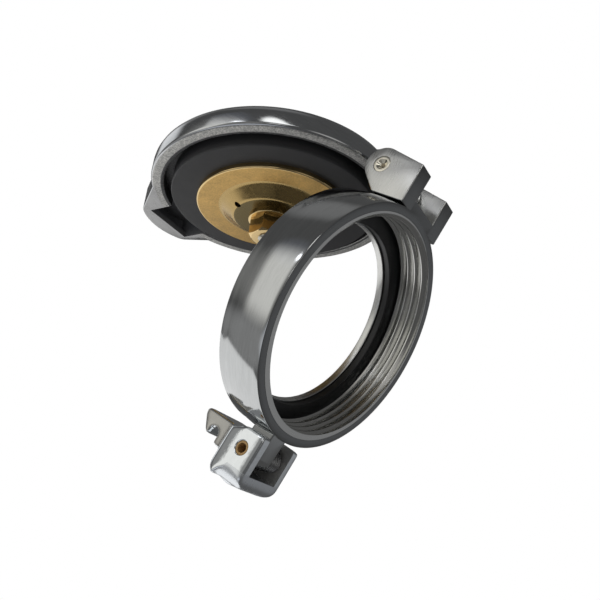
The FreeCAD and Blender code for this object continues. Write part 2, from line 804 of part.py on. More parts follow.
def spring_leg(angle, seat_out):
    """How long a leg is that leaves the coil at an angle and ends at a distance from the thread's axis."""
    turn = math.radians(angle)
    leaves_out = latch_out.value - spring_radius.value * math.cos(turn)
    return abs((seat_out - leaves_out) / math.sin(turn))


def make_latch_spring():
    """A torsion spring round the tube pin, one leg on the ring, the other on the lever.

    Its coil is wound of quarter turns, each an arc, and its legs leave the coil straight.
    """
    half_wire = spring_wire.value / 2
    slope = (spring_wire.value + spring_gap.value) / (2 * math.pi)
    finish_angle = spring_start_angle.value - 360 * spring_turns.value
    ring_seat = ring_radius.value + ring_bulge.value + half_wire + spring_leg_play.value
    lever_seat = latch_cavity_out.value - half_wire - spring_leg_play.value
    start, finish = coil_point(0), coil_point(1)
    along_start = FreeCAD.Vector(start.y, -start.x, slope).normalize()
    along_finish = FreeCAD.Vector(finish.y, -finish.x, slope).normalize()
    ring_tip = start - along_start * spring_leg(spring_start_angle.value, ring_seat)
    lever_tip = finish + along_finish * spring_leg(finish_angle, lever_seat)
    pieces = round(4 * spring_turns.value)
    path = [Part.makeLine(ring_tip, start)]
    for place in range(pieces):
        ends = [coil_point((place + part) / pieces) for part in (0, 0.5, 1)]
        path.append(Part.Arc(*ends).toShape())
    path.append(Part.makeLine(finish, lever_tip))
    section = Part.Wire([Part.makeCircle(half_wire, ring_tip, along_start)])
    spring = doc.addObject("Part::Feature", "latch_spring")
    spring.Label = "latch_spring"
    spring.Shape = Part.Wire(path).makePipeShell([section], True, True)
    across = -(latch_lug_left.value + spring_wire.value + spring_gap.value + finish.z)
    along_pin = FreeCAD.Rotation(FreeCAD.Matrix(0, 0, 1, 0, 1, 0, 0, 0, 0, 1, 0, 0, 0, 0, 0, 1))
    turned = FreeCAD.Rotation(FreeCAD.Vector(1, 0, 0), spring_start_angle.value)
    place = FreeCAD.Vector(across, -latch_out.value, latch_up.value)
    spring.Placement = FreeCAD.Placement(place, turned * along_pin)
    return spring


def open_lid(piece):
    """Turn a piece that is drawn with the lid shut about the hinge, to where the lid stands."""
    swing = FreeCAD.Rotation(FreeCAD.Vector(1, 0, 0), -open_angle.value)
    hinge = FreeCAD.Vector(0, hinge_out.value, hinge_up.value)
    drawn = piece.Placement
    piece.Placement = FreeCAD.Placement(FreeCAD.Vector(), swing, hinge).multiply(drawn)


fixed = [make_body_ring(), make_pipe_gasket(), make_hinge_pin()]
swinging = [
    make_lid_shell(), make_seal_disc(), make_retainer_disc(),
    make_centre_stud(), make_nut_washer(), make_centre_nut(),
]
lever = [make_latch_lever(), make_latch_pin(), make_latch_spring()]
doc.recompute()
for piece in swinging:
    open_lid(piece)
doc.recompute()

for item in doc.Objects:
    for fault in ("Invalid", "Error"):
        if fault in item.State:
            raise ValueError(f"{item.Label} failed")
for piece in fixed + swinging + lever:
    shape = piece.Shape
    if shape.isNull() or not shape.isValid():
        raise ValueError(f"{piece.Label} has no sound shape")
    print(f"{piece.Label}: {len(shape.Solids)} solid, {shape.Volume:.1f} cubic mm")
    shape.exportStep(f"parts/{piece.Label}.step")
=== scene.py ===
import math

import bpy
from mathutils import Matrix, Vector


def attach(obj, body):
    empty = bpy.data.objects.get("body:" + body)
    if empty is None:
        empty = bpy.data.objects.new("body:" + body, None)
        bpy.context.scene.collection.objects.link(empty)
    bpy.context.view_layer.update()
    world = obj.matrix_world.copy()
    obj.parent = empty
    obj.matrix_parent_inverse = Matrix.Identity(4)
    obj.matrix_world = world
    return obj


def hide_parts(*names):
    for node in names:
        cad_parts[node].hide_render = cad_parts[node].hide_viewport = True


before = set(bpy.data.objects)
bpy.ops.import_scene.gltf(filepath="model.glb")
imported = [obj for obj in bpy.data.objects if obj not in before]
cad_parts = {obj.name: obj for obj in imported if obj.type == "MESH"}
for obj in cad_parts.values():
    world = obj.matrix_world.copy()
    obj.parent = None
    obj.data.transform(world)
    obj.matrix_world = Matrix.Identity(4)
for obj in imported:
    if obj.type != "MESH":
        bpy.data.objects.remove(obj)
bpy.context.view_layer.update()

MM = 0.001

# Camera and studio. The camera stands low, in front of the threaded side, where the photograph
# was taken. The floor is pale and keeps the shadow, and it is clear from below. The backdrop is
# white: sight meets it all round, and metal meets it on one side, with a grey studio elsewhere.
camera_place = Vector((147.367, -22.504, -95.843)) * MM
camera_view = Vector((-0.78208668, 0.12235666, 0.61103951)).normalized()
camera_up = Vector((0.40561324, 0.84434664, 0.35008093)).normalized()
camera_right = camera_view.cross(camera_up).normalized()
camera_turn = Matrix((camera_right, camera_right.cross(camera_view), -camera_view)).transposed()
bpy.ops.object.camera_add(location=camera_place, rotation=camera_turn.to_euler())
camera = bpy.context.object
camera.name = "photo_camera"
camera.data.sensor_width = 36
camera.data.lens = 43.487
camera.data.clip_start = 0.005
bpy.context.scene.camera = camera
bpy.context.scene.view_settings.view_transform = "Standard"


def feed(tree, value, node, socket):
    """Set a socket to a value, or join it to a (node, output name) pair."""
    if isinstance(value, tuple) and isinstance(value[0], bpy.types.Node):
        tree.links.new(value[0].outputs[value[1]], node.inputs[socket])
    else:
        node.inputs[socket].default_value = value


def math_node(tree, operation, first, second):
    """A Math node on two values."""
    node = tree.nodes.new("ShaderNodeMath")
    node.operation = operation
    feed(tree, first, node, 0)
    feed(tree, second, node, 1)
    return node, "Value"


def vector_node(tree, operation, first, second=(0, 0, 0), output="Vector"):
    """A Vector Math node on two values; for SCALE the second is a number."""
    node = tree.nodes.new("ShaderNodeVectorMath")
    node.operation = operation
    feed(tree, first, node, 0)
    feed(tree, second, node, "Scale" if operation == "SCALE" else 1)
    return node, output


def map_range(tree, value, low, high, to_low=0, to_high=1, kind="LINEAR"):
    """A Map Range node, held at both ends of its new range."""
    node = tree.nodes.new("ShaderNodeMapRange")
    node.interpolation_type = kind
    feed(tree, value, node, "Value")
    for socket, number in (("From Min", low), ("From Max", high), ("To Min", to_low), ("To Max", to_high)):
        node.inputs[socket].default_value = number
    return node, "Result"


world = bpy.data.worlds.new("studio")
bpy.context.scene.world = world
world.use_nodes = True
sky = world.node_tree
sky.nodes.clear()
sky_out = sky.nodes.new("ShaderNodeOutputWorld")
sky_mix = sky.nodes.new("ShaderNodeMixShader")
sky_seen = sky.nodes.new("ShaderNodeBackground")
sky_seen.inputs["Color"].default_value = (1, 1, 1, 1)
sky_light = sky.nodes.new("ShaderNodeBackground")
sky_path = sky.nodes.new("ShaderNodeLightPath")
sky_way = sky.nodes.new("ShaderNodeTexCoord")
feed(sky, (sky_light, "Background"), sky_mix, 1)
feed(sky, (sky_seen, "Background"), sky_mix, 2)
feed(sky, (sky_mix, "Shader"), sky_out, "Surface")
# Panels and backdrop are twice as tall as wide, so a direction is flattened before it is compared.
PANEL_TALL = 0.5
sky_flat = vector_node(sky, "MULTIPLY", (sky_way, "Generated"), (1, 1, PANEL_TALL))
sky_facing = vector_node(sky, "NORMALIZE", sky_flat)


def panel_mask(turn, rise, half_angle, soft_edge):
    """A soft oval in the sky; turn is about Z from +X, rise is above the floor, all in degrees."""
    turn, rise = math.radians(turn), math.radians(rise)
    out = math.cos(rise)
    way = Vector((math.cos(turn) * out, math.sin(turn) * out, math.sin(rise) * PANEL_TALL)).normalized()
    facing = vector_node(sky, "DOT_PRODUCT", sky_facing, way, output="Value")
    rim = math.cos(math.radians(half_angle + soft_edge))
    return map_range(sky, facing, rim, math.cos(math.radians(half_angle)), kind="SMOOTHSTEP")


# The window is a broad panel, cut off level at its sill and at its head and dim past them.
WINDOW_PLACE, WINDOW_LIGHT, PAST_WINDOW = (-5, 28, 16, 22), (0.80, 0.79, 0.75), 0.20
WINDOW_SILL, WINDOW_HEAD = (0.09, 0.17), (0.48, 0.42)
sky_apart = sky.nodes.new("ShaderNodeSeparateXYZ")
feed(sky, sky_facing, sky_apart, "Vector")
window = panel_mask(*WINDOW_PLACE)
for dark_at, light_at in (WINDOW_SILL, WINDOW_HEAD):
    level_cut = map_range(sky, (sky_apart, "Z"), dark_at, light_at, to_low=PAST_WINDOW)
    window = math_node(sky, "MULTIPLY", window, level_cut)
# Each soft panel: its turn and rise, its half angle, its soft edge and its light in red, green and blue.
STUDIO_GREY = (0.10, 0.10, 0.10)
soft_panels = [
    (-58, 35, 10, 14, (0.22, 0.22, 0.22)),
    (0, 90, 20, 16, (0.75, 0.76, 0.77)),
    (10, -28, 3, 4, (1.30, 1.30, 1.30)),
    (80, 35, 5, 14, (0.14, 0.14, 0.14)),
    (38, -10, 6, 3, (1.90, 1.90, 1.86)),
    (22, 17, 2, 2, (2.60, 2.65, 2.80)),
    (26, 30, 5, 10, (0.05, 0.055, 0.07)),
    (-48, -18, 8, 14, (0.50, 0.52, 0.56)),
    (100, 75, 8, 24, (0.16, 0.16, 0.16)),
    (40, -72, 12, 20, (0.46, 0.45, 0.43)),
    (171, -44, 10, 16, (0.17, 0.175, 0.185)),
]
panel_lights = [(panel_mask(*place), strength) for *place, strength in soft_panels]
light = STUDIO_GREY
for mask, strength in [(window, WINDOW_LIGHT)] + panel_lights:
    light = vector_node(sky, "ADD", vector_node(sky, "SCALE", strength, mask), light)
feed(sky, light, sky_light, "Color")
BACKDROP_PLACE = (-110, 40, 30, 3)
mirrored = math_node(sky, "MULTIPLY", (sky_path, "Is Glossy Ray"), panel_mask(*BACKDROP_PLACE))
white = math_node(sky, "MAXIMUM", mirrored, (sky_path, "Is Camera Ray"))
white = math_node(sky, "MAXIMUM", white, (sky_path, "Is Transmission Ray"))
feed(sky, white, sky_mix, "Fac")

FLOOR_WIDTH, FLOOR_TONE = 1.2, (0.86, 0.86, 0.86, 1)
bpy.ops.mesh.primitive_plane_add(size=FLOOR_WIDTH, location=(0, 0, 0))
floor = bpy.context.object
floor.name = "floor"
floor_paint = bpy.data.materials.new("pale_floor")
floor_paint.use_nodes = True
ground = floor_paint.node_tree
ground.nodes.clear()
ground_out = ground.nodes.new("ShaderNodeOutputMaterial")
ground_mix = ground.nodes.new("ShaderNodeMixShader")
ground_clear = ground.nodes.new("ShaderNodeBsdfTransparent")
ground_pale = ground.nodes.new("ShaderNodeBsdfDiffuse")
ground_pale.inputs["Color"].default_value = FLOOR_TONE
ground_side = ground.nodes.new("ShaderNodeNewGeometry")
ground_path = ground.nodes.new("ShaderNodeLightPath")
from_above = math_node(ground, "SUBTRACT", 1, (ground_side, "Backfacing"))
feed(ground, math_node(ground, "MULTIPLY", from_above, (ground_path, "Is Camera Ray")), ground_mix, "Fac")
feed(ground, (ground_clear, "BSDF"), ground_mix, 1)
feed(ground, (ground_pale, "BSDF"), ground_mix, 2)
feed(ground, (ground_mix, "Shader"), ground_out, "Surface")
floor.data.materials.append(floor_paint)

KEY_PLACE, KEY_WIDTH, KEY_ENERGY = Vector((0.2, -0.25, 0.75)), 0.8, 5
bpy.ops.object.light_add(type="AREA", location=KEY_PLACE)
key_lamp = bpy.context.object
key_lamp.name = "key_lamp"
key_lamp.data.size = KEY_WIDTH
key_lamp.data.energy = KEY_ENERGY
key_lamp.visible_glossy = False
key_lamp.rotation_euler = (-KEY_PLACE).to_track_quat("-Z", "Y").to_euler()

# Ring. A cast ring, turned and threaded inside and polished outside, with two hinge lugs behind
# and one narrow ear in front for the latch. Its sizes are those of the solid that it stands for.
RING_RADIUS, RING_BULGE, RING_HEIGHT, BULGE_UP = 32.0 * MM, 0.45 * MM, 13.0 * MM, 5.85 * MM
THREAD_RADIUS, THREAD_DEPTH = 29.8 * MM, 9.0 * MM
RECESS_RADIUS, SHOULDER_HEIGHT, SEAT_BORE = 30.2 * MM, 11.0 * MM, 24.1 * MM
HINGE = Vector((0, 38.4, 11.0)) * MM
LUG_RADIUS, LUG_OUTSIDE, LUG_GAP = 4.8 * MM, 11.4 * MM, 5.9 * MM
LUG_FOOT, LUG_NECK, LUG_GAP_FLOOR = 41.3 * MM, 9.6 * MM, 33.9 * MM
RIVET_RADIUS, RIVET_SEAT_RADIUS, RIVET_SEAT_DEPTH = 1.6 * MM, 2.3 * MM, 0.8 * MM
LATCH_AXIS = Vector((0, -37.9, 4.3)) * MM
EAR_RADIUS, EAR_LOW, EAR_HIGH = 3.2 * MM, 0.6 * MM, 7.0 * MM
EAR_LEFT, EAR_RIGHT, LATCH_BORE = -0.6 * MM, 5.4 * MM, 1.75 * MM
WEB_HALF, TURNED_EDGE, LUG_EDGE, BARREL_STEPS = LUG_GAP * 1.05, 0.25 * MM, 0.3 * MM, 10
# A cutting tool reaches this far past a face, places are compared within NEAR, and points closer
# than SEAM are joined.
CUT_PAST, NEAR, SEAM = 1 * MM, 0.1 * MM, 0.001 * MM
# Turns a flat outline drawn in X and Y, with its thickness in Z, so that it lies in Y and Z.
SIDEWAYS = Matrix(((0, 0, 1, 0), (1, 0, 0, 0), (0, 1, 0, 0), (0, 0, 0, 1)))


def pick(piece):
    """Select one piece alone."""
    bpy.ops.object.select_all(action="DESELECT")
    bpy.context.view_layer.objects.active = piece
    piece.select_set(True)


def edit(piece):
    """Open one piece for editing, with all of its mesh selected."""
    pick(piece)
    bpy.ops.object.mode_set(mode="EDIT")
    bpy.ops.mesh.select_all(action="SELECT")


def done(piece):
    """Close the edit with clean seams and faces that point outwards."""
    bpy.ops.mesh.select_all(action="SELECT")
    bpy.ops.mesh.remove_doubles(threshold=SEAM)
    bpy.ops.mesh.normals_make_consistent(inside=False)
    bpy.ops.object.mode_set(mode="OBJECT")
    return piece


def rounded(corners, steps=6):
    """The points of a section, with an arc at each corner that gives its radius as a third number."""
    points = []
    for place, corner in enumerate(corners):
        here = Vector(corner[:2])
        if len(corner) == 2:
            points.append(tuple(here))
            continue
        back = (Vector(corners[place - 1][:2]) - here).normalized()
        ahead = (Vector(corners[(place + 1) % len(corners)][:2]) - here).normalized()
        half = back.angle(ahead) / 2
        centre = here + (back + ahead).normalized() * corner[2] / math.sin(half)
        first = (here + back * corner[2] / math.tan(half) - centre).normalized()
        last = (here + ahead * corner[2] / math.tan(half) - centre).normalized()
        points += [tuple(centre + first.slerp(last, step / steps) * corner[2]) for step in range(steps + 1)]
    return points


def turned(name, profile, closed=True, around=192):
    """Turn a section of (radius, height) points about the Z axis; an open one is closed at its ends."""
    radius, height = profile[0]
    bpy.ops.object.select_all(action="DESELECT")
    bpy.ops.mesh.primitive_circle_add(vertices=around, radius=radius)
    piece = bpy.context.object
    piece.name = name
    edit(piece)
    bpy.ops.transform.translate(value=(0, 0, height))
    if not closed:
        bpy.ops.mesh.edge_face_add()
        bpy.ops.mesh.select_mode(type="EDGE")
    for next_radius, next_height in profile[1:] + (profile[:1] if closed else []):
        step = {"value": (0, 0, next_height - height)}
        bpy.ops.mesh.extrude_edges_move(TRANSFORM_OT_translate=step)
        growth = next_radius / radius
        bpy.ops.transform.resize(value=(growth, growth, 1))
        radius, height = next_radius, next_height
    if not closed:
        bpy.ops.mesh.edge_face_add()
    return done(piece)


def plate(name, outline, low, high, place=SIDEWAYS):
    """Draw an outline flat and give it its thickness, then lay it in place."""
    bpy.ops.object.select_all(action="DESELECT")
    bpy.ops.mesh.primitive_circle_add(vertices=len(outline), fill_type="NGON")
    piece = bpy.context.object
    piece.name = name
    for vertex, (across, along) in zip(piece.data.vertices, outline):
        vertex.co = (across, along, low)
    edit(piece)
    bpy.ops.mesh.extrude_region_move(TRANSFORM_OT_translate={"value": (0, 0, high - low)})
    done(piece)
    piece.data.transform(place)
    return piece


def rod(name, centre, radius, low, high, place=SIDEWAYS, around=64):
    """A round bar, along X if not laid another way."""
    bpy.ops.object.select_all(action="DESELECT")
    bpy.ops.mesh.primitive_cylinder_add(vertices=around, radius=radius, depth=high - low)
    piece = bpy.context.object
    piece.name = name
    piece.data.transform(Matrix.Translation((0, 0, (low + high) / 2)))
    piece.data.transform(Matrix.Translation(centre) @ place)
    return piece


def apply_modifier(piece, kind, **settings):
    """Add a modifier with its settings and make its result the piece's own mesh."""
    pick(piece)
    modifier = piece.modifiers.new(kind.title(), kind)
    for name, value in settings.items():
        setattr(modifier, name, value)
    bpy.ops.object.modifier_apply(modifier=modifier.name)
    return piece


def soften(piece, width, segments=3, angle=30):
    """Round every edge that is sharper than the angle."""
    return apply_modifier(piece, "BEVEL", width=width, segments=segments,
                          limit_method="ANGLE", angle_limit=math.radians(angle))


def round_edges(piece, width, segments, test):
    """Round the edges whose two ends pass the test."""
    edit(piece)
    bpy.ops.mesh.select_all(action="DESELECT")
    bpy.ops.object.mode_set(mode="OBJECT")
    for edge in piece.data.edges:
        first, last = (piece.data.vertices[end].co for end in edge.vertices)
        edge.select = test(first, last)
    bpy.ops.object.mode_set(mode="EDIT")
    bpy.ops.mesh.select_mode(type="EDGE")
    bpy.ops.mesh.bevel(offset=width, segments=segments, affect="EDGES", clamp_overlap=True)
    return done(piece)


def combine(piece, tool, operation):
    """Add a tool to a piece, or cut it away, and put the tool aside."""
    apply_modifier(piece, "BOOLEAN", object=tool, operation=operation, solver="EXACT")
    bpy.data.objects.remove(tool)
    return piece


def smooth(piece, angle=32):
    """Shade a piece smooth, but for edges that are sharper than the angle."""
    pick(piece)
    bpy.ops.object.shade_smooth_by_angle(angle=math.radians(angle))
    return piece


def arc(centre, radius, start, end, count):
    """Points on an arc from one angle to another, in degrees, as (across, along) pairs."""
    turns = [math.radians(start + (end - start) * step / (count - 1)) for step in range(count)]
    return [(centre[0] + radius * math.cos(turn), centre[1] + radius * math.sin(turn)) for turn in turns]


def touching(point, centre, radius, side):
    """The angle on a circle where a line from a point outside it touches; side is 1 or -1."""
    away = Vector(point) - Vector(centre)
    lean = math.degrees(math.acos(radius / away.length))
    return math.degrees(math.atan2(away.y, away.x)) + side * lean


def barrel(height):
    """The ring's outside radius at a height: it swells slightly in the middle."""
    return RING_RADIUS + RING_BULGE * max(0, 1 - ((height - BULGE_UP) / BULGE_UP) ** 2)


wall_steps = [RING_HEIGHT * step / BARREL_STEPS for step in range(BARREL_STEPS + 1)]
ring = turned("ring", [(barrel(height), height) for height in wall_steps] + [
    (SEAT_BORE, RING_HEIGHT),
    (SEAT_BORE, SHOULDER_HEIGHT),
    (RECESS_RADIUS, SHOULDER_HEIGHT),
    (RECESS_RADIUS, THREAD_DEPTH),
    (THREAD_RADIUS, THREAD_DEPTH),
    (THREAD_RADIUS, 0),
])
soften(ring, TURNED_EDGE, angle=50)

wall_middle = (THREAD_RADIUS + RING_RADIUS) / 2
hinge_spot = (HINGE.y, HINGE.z)
lug_slope_turn = touching((wall_middle, LUG_NECK), hinge_spot, LUG_RADIUS, -1) + 360
lug_outline = [(wall_middle, 0), (LUG_FOOT, 0)] + arc(
    hinge_spot, LUG_RADIUS, touching((LUG_FOOT, 0), hinge_spot, LUG_RADIUS, 1), lug_slope_turn, count=25
) + [(wall_middle, LUG_NECK)]
for side in (1, -1):
    low, high = sorted((side * LUG_GAP, side * LUG_OUTSIDE))
    lug = plate("lug", lug_outline, low, high)
    soften(lug, LUG_EDGE)
    combine(ring, lug, "UNION")
# The web between the lugs ends short of the lid's arm, and its top follows the lugs' slope.
slope_end = arc(hinge_spot, LUG_RADIUS, lug_slope_turn, lug_slope_turn, count=2)[0]
slope = (slope_end[1] - LUG_NECK) / (slope_end[0] - wall_middle)
web_top = LUG_NECK + slope * (LUG_GAP_FLOOR - wall_middle)
web_outline = [(wall_middle, 0), (LUG_GAP_FLOOR, 0), (LUG_GAP_FLOOR, web_top), (wall_middle, LUG_NECK)]
combine(ring, plate("web", web_outline, -WEB_HALF, WEB_HALF), "UNION")

latch_spot = (LATCH_AXIS.y, LATCH_AXIS.z)
ear_outline = [(-wall_middle, EAR_LOW)] + arc(
    latch_spot, EAR_RADIUS,
    touching((-wall_middle, EAR_LOW), latch_spot, EAR_RADIUS, -1),
    touching((-wall_middle, EAR_HIGH), latch_spot, EAR_RADIUS, 1) - 360,
    count=33,
) + [(-wall_middle, EAR_HIGH)]
ear = plate("ear", ear_outline, EAR_LEFT, EAR_RIGHT)
soften(ear, TURNED_EDGE)
combine(ring, ear, "UNION")
bore_reach = LUG_OUTSIDE * 1.1
combine(ring, rod("hinge_bore", HINGE, RIVET_RADIUS, -bore_reach, bore_reach), "DIFFERENCE")
for side in (1, -1):
    low, high = sorted((side * (LUG_OUTSIDE - RIVET_SEAT_DEPTH), side * bore_reach))
    combine(ring, rod("rivet_seat", HINGE, RIVET_SEAT_RADIUS, low, high), "DIFFERENCE")
latch_bore = rod("latch_bore", LATCH_AXIS, LATCH_BORE, EAR_LEFT * 2, EAR_RIGHT * 2)
combine(ring, latch_bore, "DIFFERENCE")
smooth(ring)


def new_group(name, inputs, outputs):
    """A shader node group; each socket is given as (name, type, default)."""
    group = bpy.data.node_groups.new(name, "ShaderNodeTree")
    for in_out, sockets in (("INPUT", inputs), ("OUTPUT", outputs)):
        for socket_name, kind, default in sockets:
            socket_type = "NodeSocket" + kind
            socket = group.interface.new_socket(name=socket_name, in_out=in_out, socket_type=socket_type)
            if default is not None:
                socket.default_value = default
    return group, group.nodes.new("NodeGroupInput"), group.nodes.new("NodeGroupOutput")


def noise_node(tree, place, scale, detail):
    """A Noise texture over a pattern, from 0 to 1."""
    node = tree.nodes.new("ShaderNodeTexNoise")
    node.inputs["Scale"].default_value = scale
    node.inputs["Detail"].default_value = detail
    feed(tree, place, node, "Vector")
    return node, "Fac"


def blended(tree, first, second, second_share):
    """Two patterns added up, the second with its share of the whole."""
    first_part = math_node(tree, "MULTIPLY", first, 1 - second_share)
    return math_node(tree, "ADD", first_part, math_node(tree, "MULTIPLY", second, second_share))


# Wiping and tool marks: fine streaks along the pattern's long way, over broad soft clouds.
marks, marks_in, marks_out = new_group(
    "tool_marks",
    [("Pattern", "Vector", None), ("Tone", "Color", (0.5, 0.5, 0.5, 1)), ("Spread", "Float", 0.1),
     ("Roughness", "Float", 0.2), ("Roughness Spread", "Float", 0.1), ("Waves", "Float", 0.0)],
    [("Color", "Color", None), ("Roughness", "Float", None), ("Height", "Float", None)],
)
streaks = noise_node(marks, (marks_in, "Pattern"), scale=1.0, detail=5)
clouds = noise_node(marks, (marks_in, "Pattern"), scale=0.11, detail=2)
mixed = blended(marks, streaks, clouds, second_share=0.4)
lift = map_range(marks, mixed, low=0.3, high=0.7, to_low=-1, to_high=1)
shade = math_node(marks, "ADD", math_node(marks, "MULTIPLY", lift, (marks_in, "Spread")), 1)
feed(marks, vector_node(marks, "SCALE", (marks_in, "Tone"), shade), marks_out, "Color")
worn = math_node(marks, "MULTIPLY", lift, (marks_in, "Roughness Spread"))
feed(marks, math_node(marks, "ADD", worn, (marks_in, "Roughness")), marks_out, "Roughness")
waves = math_node(marks, "MULTIPLY", clouds, (marks_in, "Waves"))
feed(marks, math_node(marks, "ADD", waves, streaks), marks_out, "Height")


def pattern(tree, scale, turned_about_z=False):
    """Object coordinates in millimetres times a scale; turned marks run round the Z axis."""
    place = tree.nodes.new("ShaderNodeTexCoord")
    mapping = tree.nodes.new("ShaderNodeMapping")
    mapping.inputs["Scale"].default_value = [part / MM for part in scale]
    if not turned_about_z:
        feed(tree, (place, "Object"), mapping, "Vector")
        return mapping, "Vector"
    apart = tree.nodes.new("ShaderNodeSeparateXYZ")
    feed(tree, (place, "Object"), apart, "Vector")
    squares = [math_node(tree, "MULTIPLY", (apart, part), (apart, part)) for part in ("X", "Y")]
    radius = math_node(tree, "POWER", math_node(tree, "ADD", *squares), 0.5)
    angle = math_node(tree, "ARCTAN2", (apart, "Y"), (apart, "X"))
    around = tree.nodes.new("ShaderNodeCombineXYZ")
    feed(tree, radius, around, "X")
    feed(tree, math_node(tree, "MULTIPLY", angle, MM), around, "Y")
    feed(tree, (apart, "Z"), around, "Z")
    feed(tree, (around, "Vector"), mapping, "Vector")
    return mapping, "Vector"


def finish(name, group, settings, scale, metallic=1.0, bump=0.1, bump_depth=0.02 * MM, around=False):
    """A material whose colour, roughness and relief come from a node group over its own pattern."""
    material = bpy.data.materials.new(name)
    material.use_nodes = True
    tree = material.node_tree
    surface = tree.nodes["Principled BSDF"]
    effect = tree.nodes.new("ShaderNodeGroup")
    effect.node_tree = group
    for socket, value in settings.items():
        effect.inputs[socket].default_value = value
    feed(tree, pattern(tree, scale, around), effect, "Pattern")
    feed(tree, (effect, "Color"), surface, "Base Color")
    feed(tree, (effect, "Roughness"), surface, "Roughness")
    surface.inputs["Metallic"].default_value = metallic
    relief = tree.nodes.new("ShaderNodeBump")
    relief.inputs["Strength"].default_value = bump
    relief.inputs["Distance"].default_value = bump_depth
    feed(tree, (effect, "Height"), relief, "Height")
    feed(tree, (relief, "Normal"), surface, "Normal")
    return material


def dress(piece, materials, choose=None):
    """Give a piece its materials, and each face the one that the choice names for it."""
    piece.data.materials.clear()
    for material in materials:
        piece.data.materials.append(material)
    for face in piece.data.polygons:
        face.material_index = choose(face.center, face.normal) if choose else 0


ring_polish = finish(
    "ring_polish", marks,
    {"Tone": (0.52, 0.53, 0.53, 1), "Spread": 0.08, "Roughness": 0.10, "Roughness Spread": 0.05,
     "Waves": 16.0},
    (0.25, 0.25, 3.0), bump=0.06,
)
ring_satin = finish(
    "ring_satin", marks,
    {"Tone": (0.66, 0.66, 0.64, 1), "Spread": 0.14, "Roughness": 0.30, "Roughness Spread": 0.06},
    (0.5, 0.5, 5.0), bump=0.15,
)
# Dark faced metal for the bore and the foot; on the ear's sides this dark tone is painted shade.
ring_faced_and_shade = finish(
    "ring_faced_and_shade", marks,
    {"Tone": (0.23, 0.235, 0.235, 1), "Spread": 0.10, "Roughness": 0.30, "Roughness Spread": 0.06},
    (9.0, 3.0, 1.0), bump=0.15, around=True,
)
FACED_AND_SHADE, SATIN = 1, 2
SQUARE_ON, SEAT_BAND = 0.9, 1.5 * MM


def ring_finish(spot, normal):
    """Satin in the seat and on the lugs' sides, and dark faced metal in the bore and on the foot; the ear's
    sides take the same dark tone as painted shade.
    """
    from_middle = Vector(spot.xy).length
    sideways = abs(normal.x) > SQUARE_ON
    if from_middle < SEAT_BORE + SEAT_BAND:
        return SATIN
    on_foot = normal.z < -SQUARE_ON and spot.z < 2 * NEAR
    if on_foot or from_middle < RECESS_RADIUS + NEAR or sideways and spot.y < -THREAD_RADIUS:
        return FACED_AND_SHADE
    return SATIN if sideways and spot.y > THREAD_RADIUS else 0


dress(ring, [ring_polish, ring_faced_and_shade, ring_satin], ring_finish)
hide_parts("body_ring")
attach(ring, "ring")

# Pipe thread. A right-handed parallel thread, eleven turns to the inch, cut in the ring's bore.
# Its ridges are a swept coil in front of the bore's wall, cut off flat at both ends.
PITCH, RIDGE_TIP, RIDGE_ROOT = 2.309 * MM, 28.33 * MM, 29.85 * MM
FIRST_TURN, TURNS, TURN_STEPS, END_CLEAR = 0.8, 6, 144, 0.02 * MM
# One flank from the root to the tip: the radius, and the way from the ridge's middle in pitches.
flank = [(RIDGE_ROOT, 0.495), (29.6 * MM, 0.46), (28.6 * MM, 0.15), (28.36 * MM, 0.07)]
ridge = [(radius, -share) for radius, share in flank] + [(RIDGE_TIP, 0)] + flank[::-1]
bpy.ops.object.select_all(action="DESELECT")
bpy.ops.mesh.primitive_circle_add(vertices=len(ridge))
pipe_thread = bpy.context.object
pipe_thread.name = "pipe_thread"
for vertex, (radius, share) in zip(pipe_thread.data.vertices, ridge):
    vertex.co = (radius, 0, (share - FIRST_TURN) * PITCH)
apply_modifier(pipe_thread, "SCREW", axis="Z", screw_offset=PITCH, iterations=TURNS,
               steps=TURN_STEPS, render_steps=TURN_STEPS, use_smooth_shade=False)
for cut, side in ((END_CLEAR, True), (THREAD_DEPTH - END_CLEAR, False)):
    edit(pipe_thread)
    bpy.ops.mesh.bisect(plane_co=(0, 0, cut), plane_no=(0, 0, 1), use_fill=True,
                        clear_inner=side, clear_outer=not side, threshold=0.1 * SEAM)
    done(pipe_thread)
smooth(pipe_thread)
thread_cut = finish(
    "thread_cut", marks,
    {"Tone": (0.64, 0.64, 0.62, 1), "Spread": 0.12, "Roughness": 0.22, "Roughness Spread": 0.08},
    (4.0, 2.0, 4.0), bump=0.1, around=True,
)
dress(pipe_thread, [thread_cut])
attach(pipe_thread, "ring")

# Pipe gasket. A flat ring of black rubber, stamped from sheet; the pipe's end is screwed against
# it. It is pressed into the recess above the thread and is held there by its own springiness.
GASKET_INNER, GASKET_OUTER, GASKET_EDGE = 24.6 * MM, 29.95 * MM, 0.25 * MM
gasket = turned("gasket", rounded([
    (GASKET_INNER, THREAD_DEPTH, GASKET_EDGE),
    (GASKET_OUTER, THREAD_DEPTH, GASKET_EDGE),
    (GASKET_OUTER, SHOULDER_HEIGHT, GASKET_EDGE),
    (GASKET_INNER, SHOULDER_HEIGHT, GASKET_EDGE),
], steps=4))
smooth(gasket)
gasket_rubber = finish(
    "gasket_rubber", marks,
    {"Tone": (0.012, 0.0125, 0.013, 1), "Spread": 0.25, "Roughness": 0.42, "Roughness Spread": 0.08},
    (1.5, 1.5, 1.5), metallic=0.0, bump=0.2, around=True,
)
dress(gasket, [gasket_rubber])
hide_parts("pipe_gasket")
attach(gasket, "ring")

# Hinge rivet. A steel rivet through both lugs and the lid's arm, which turns on it. Its ends are
# hollow, and they were flared into their seats in the lugs to close it.
RIVET_HALF, RIVET_DISH, RIVET_HOLLOW, RIVET_DISH_FLOOR = 11.4 * MM, 0.7 * MM, 1.5 * MM, 0.5 * MM
RIVET_EDGE, DISH_EDGE, HOLLOW_EDGE = 0.25 * MM, 0.2 * MM, 0.15 * MM
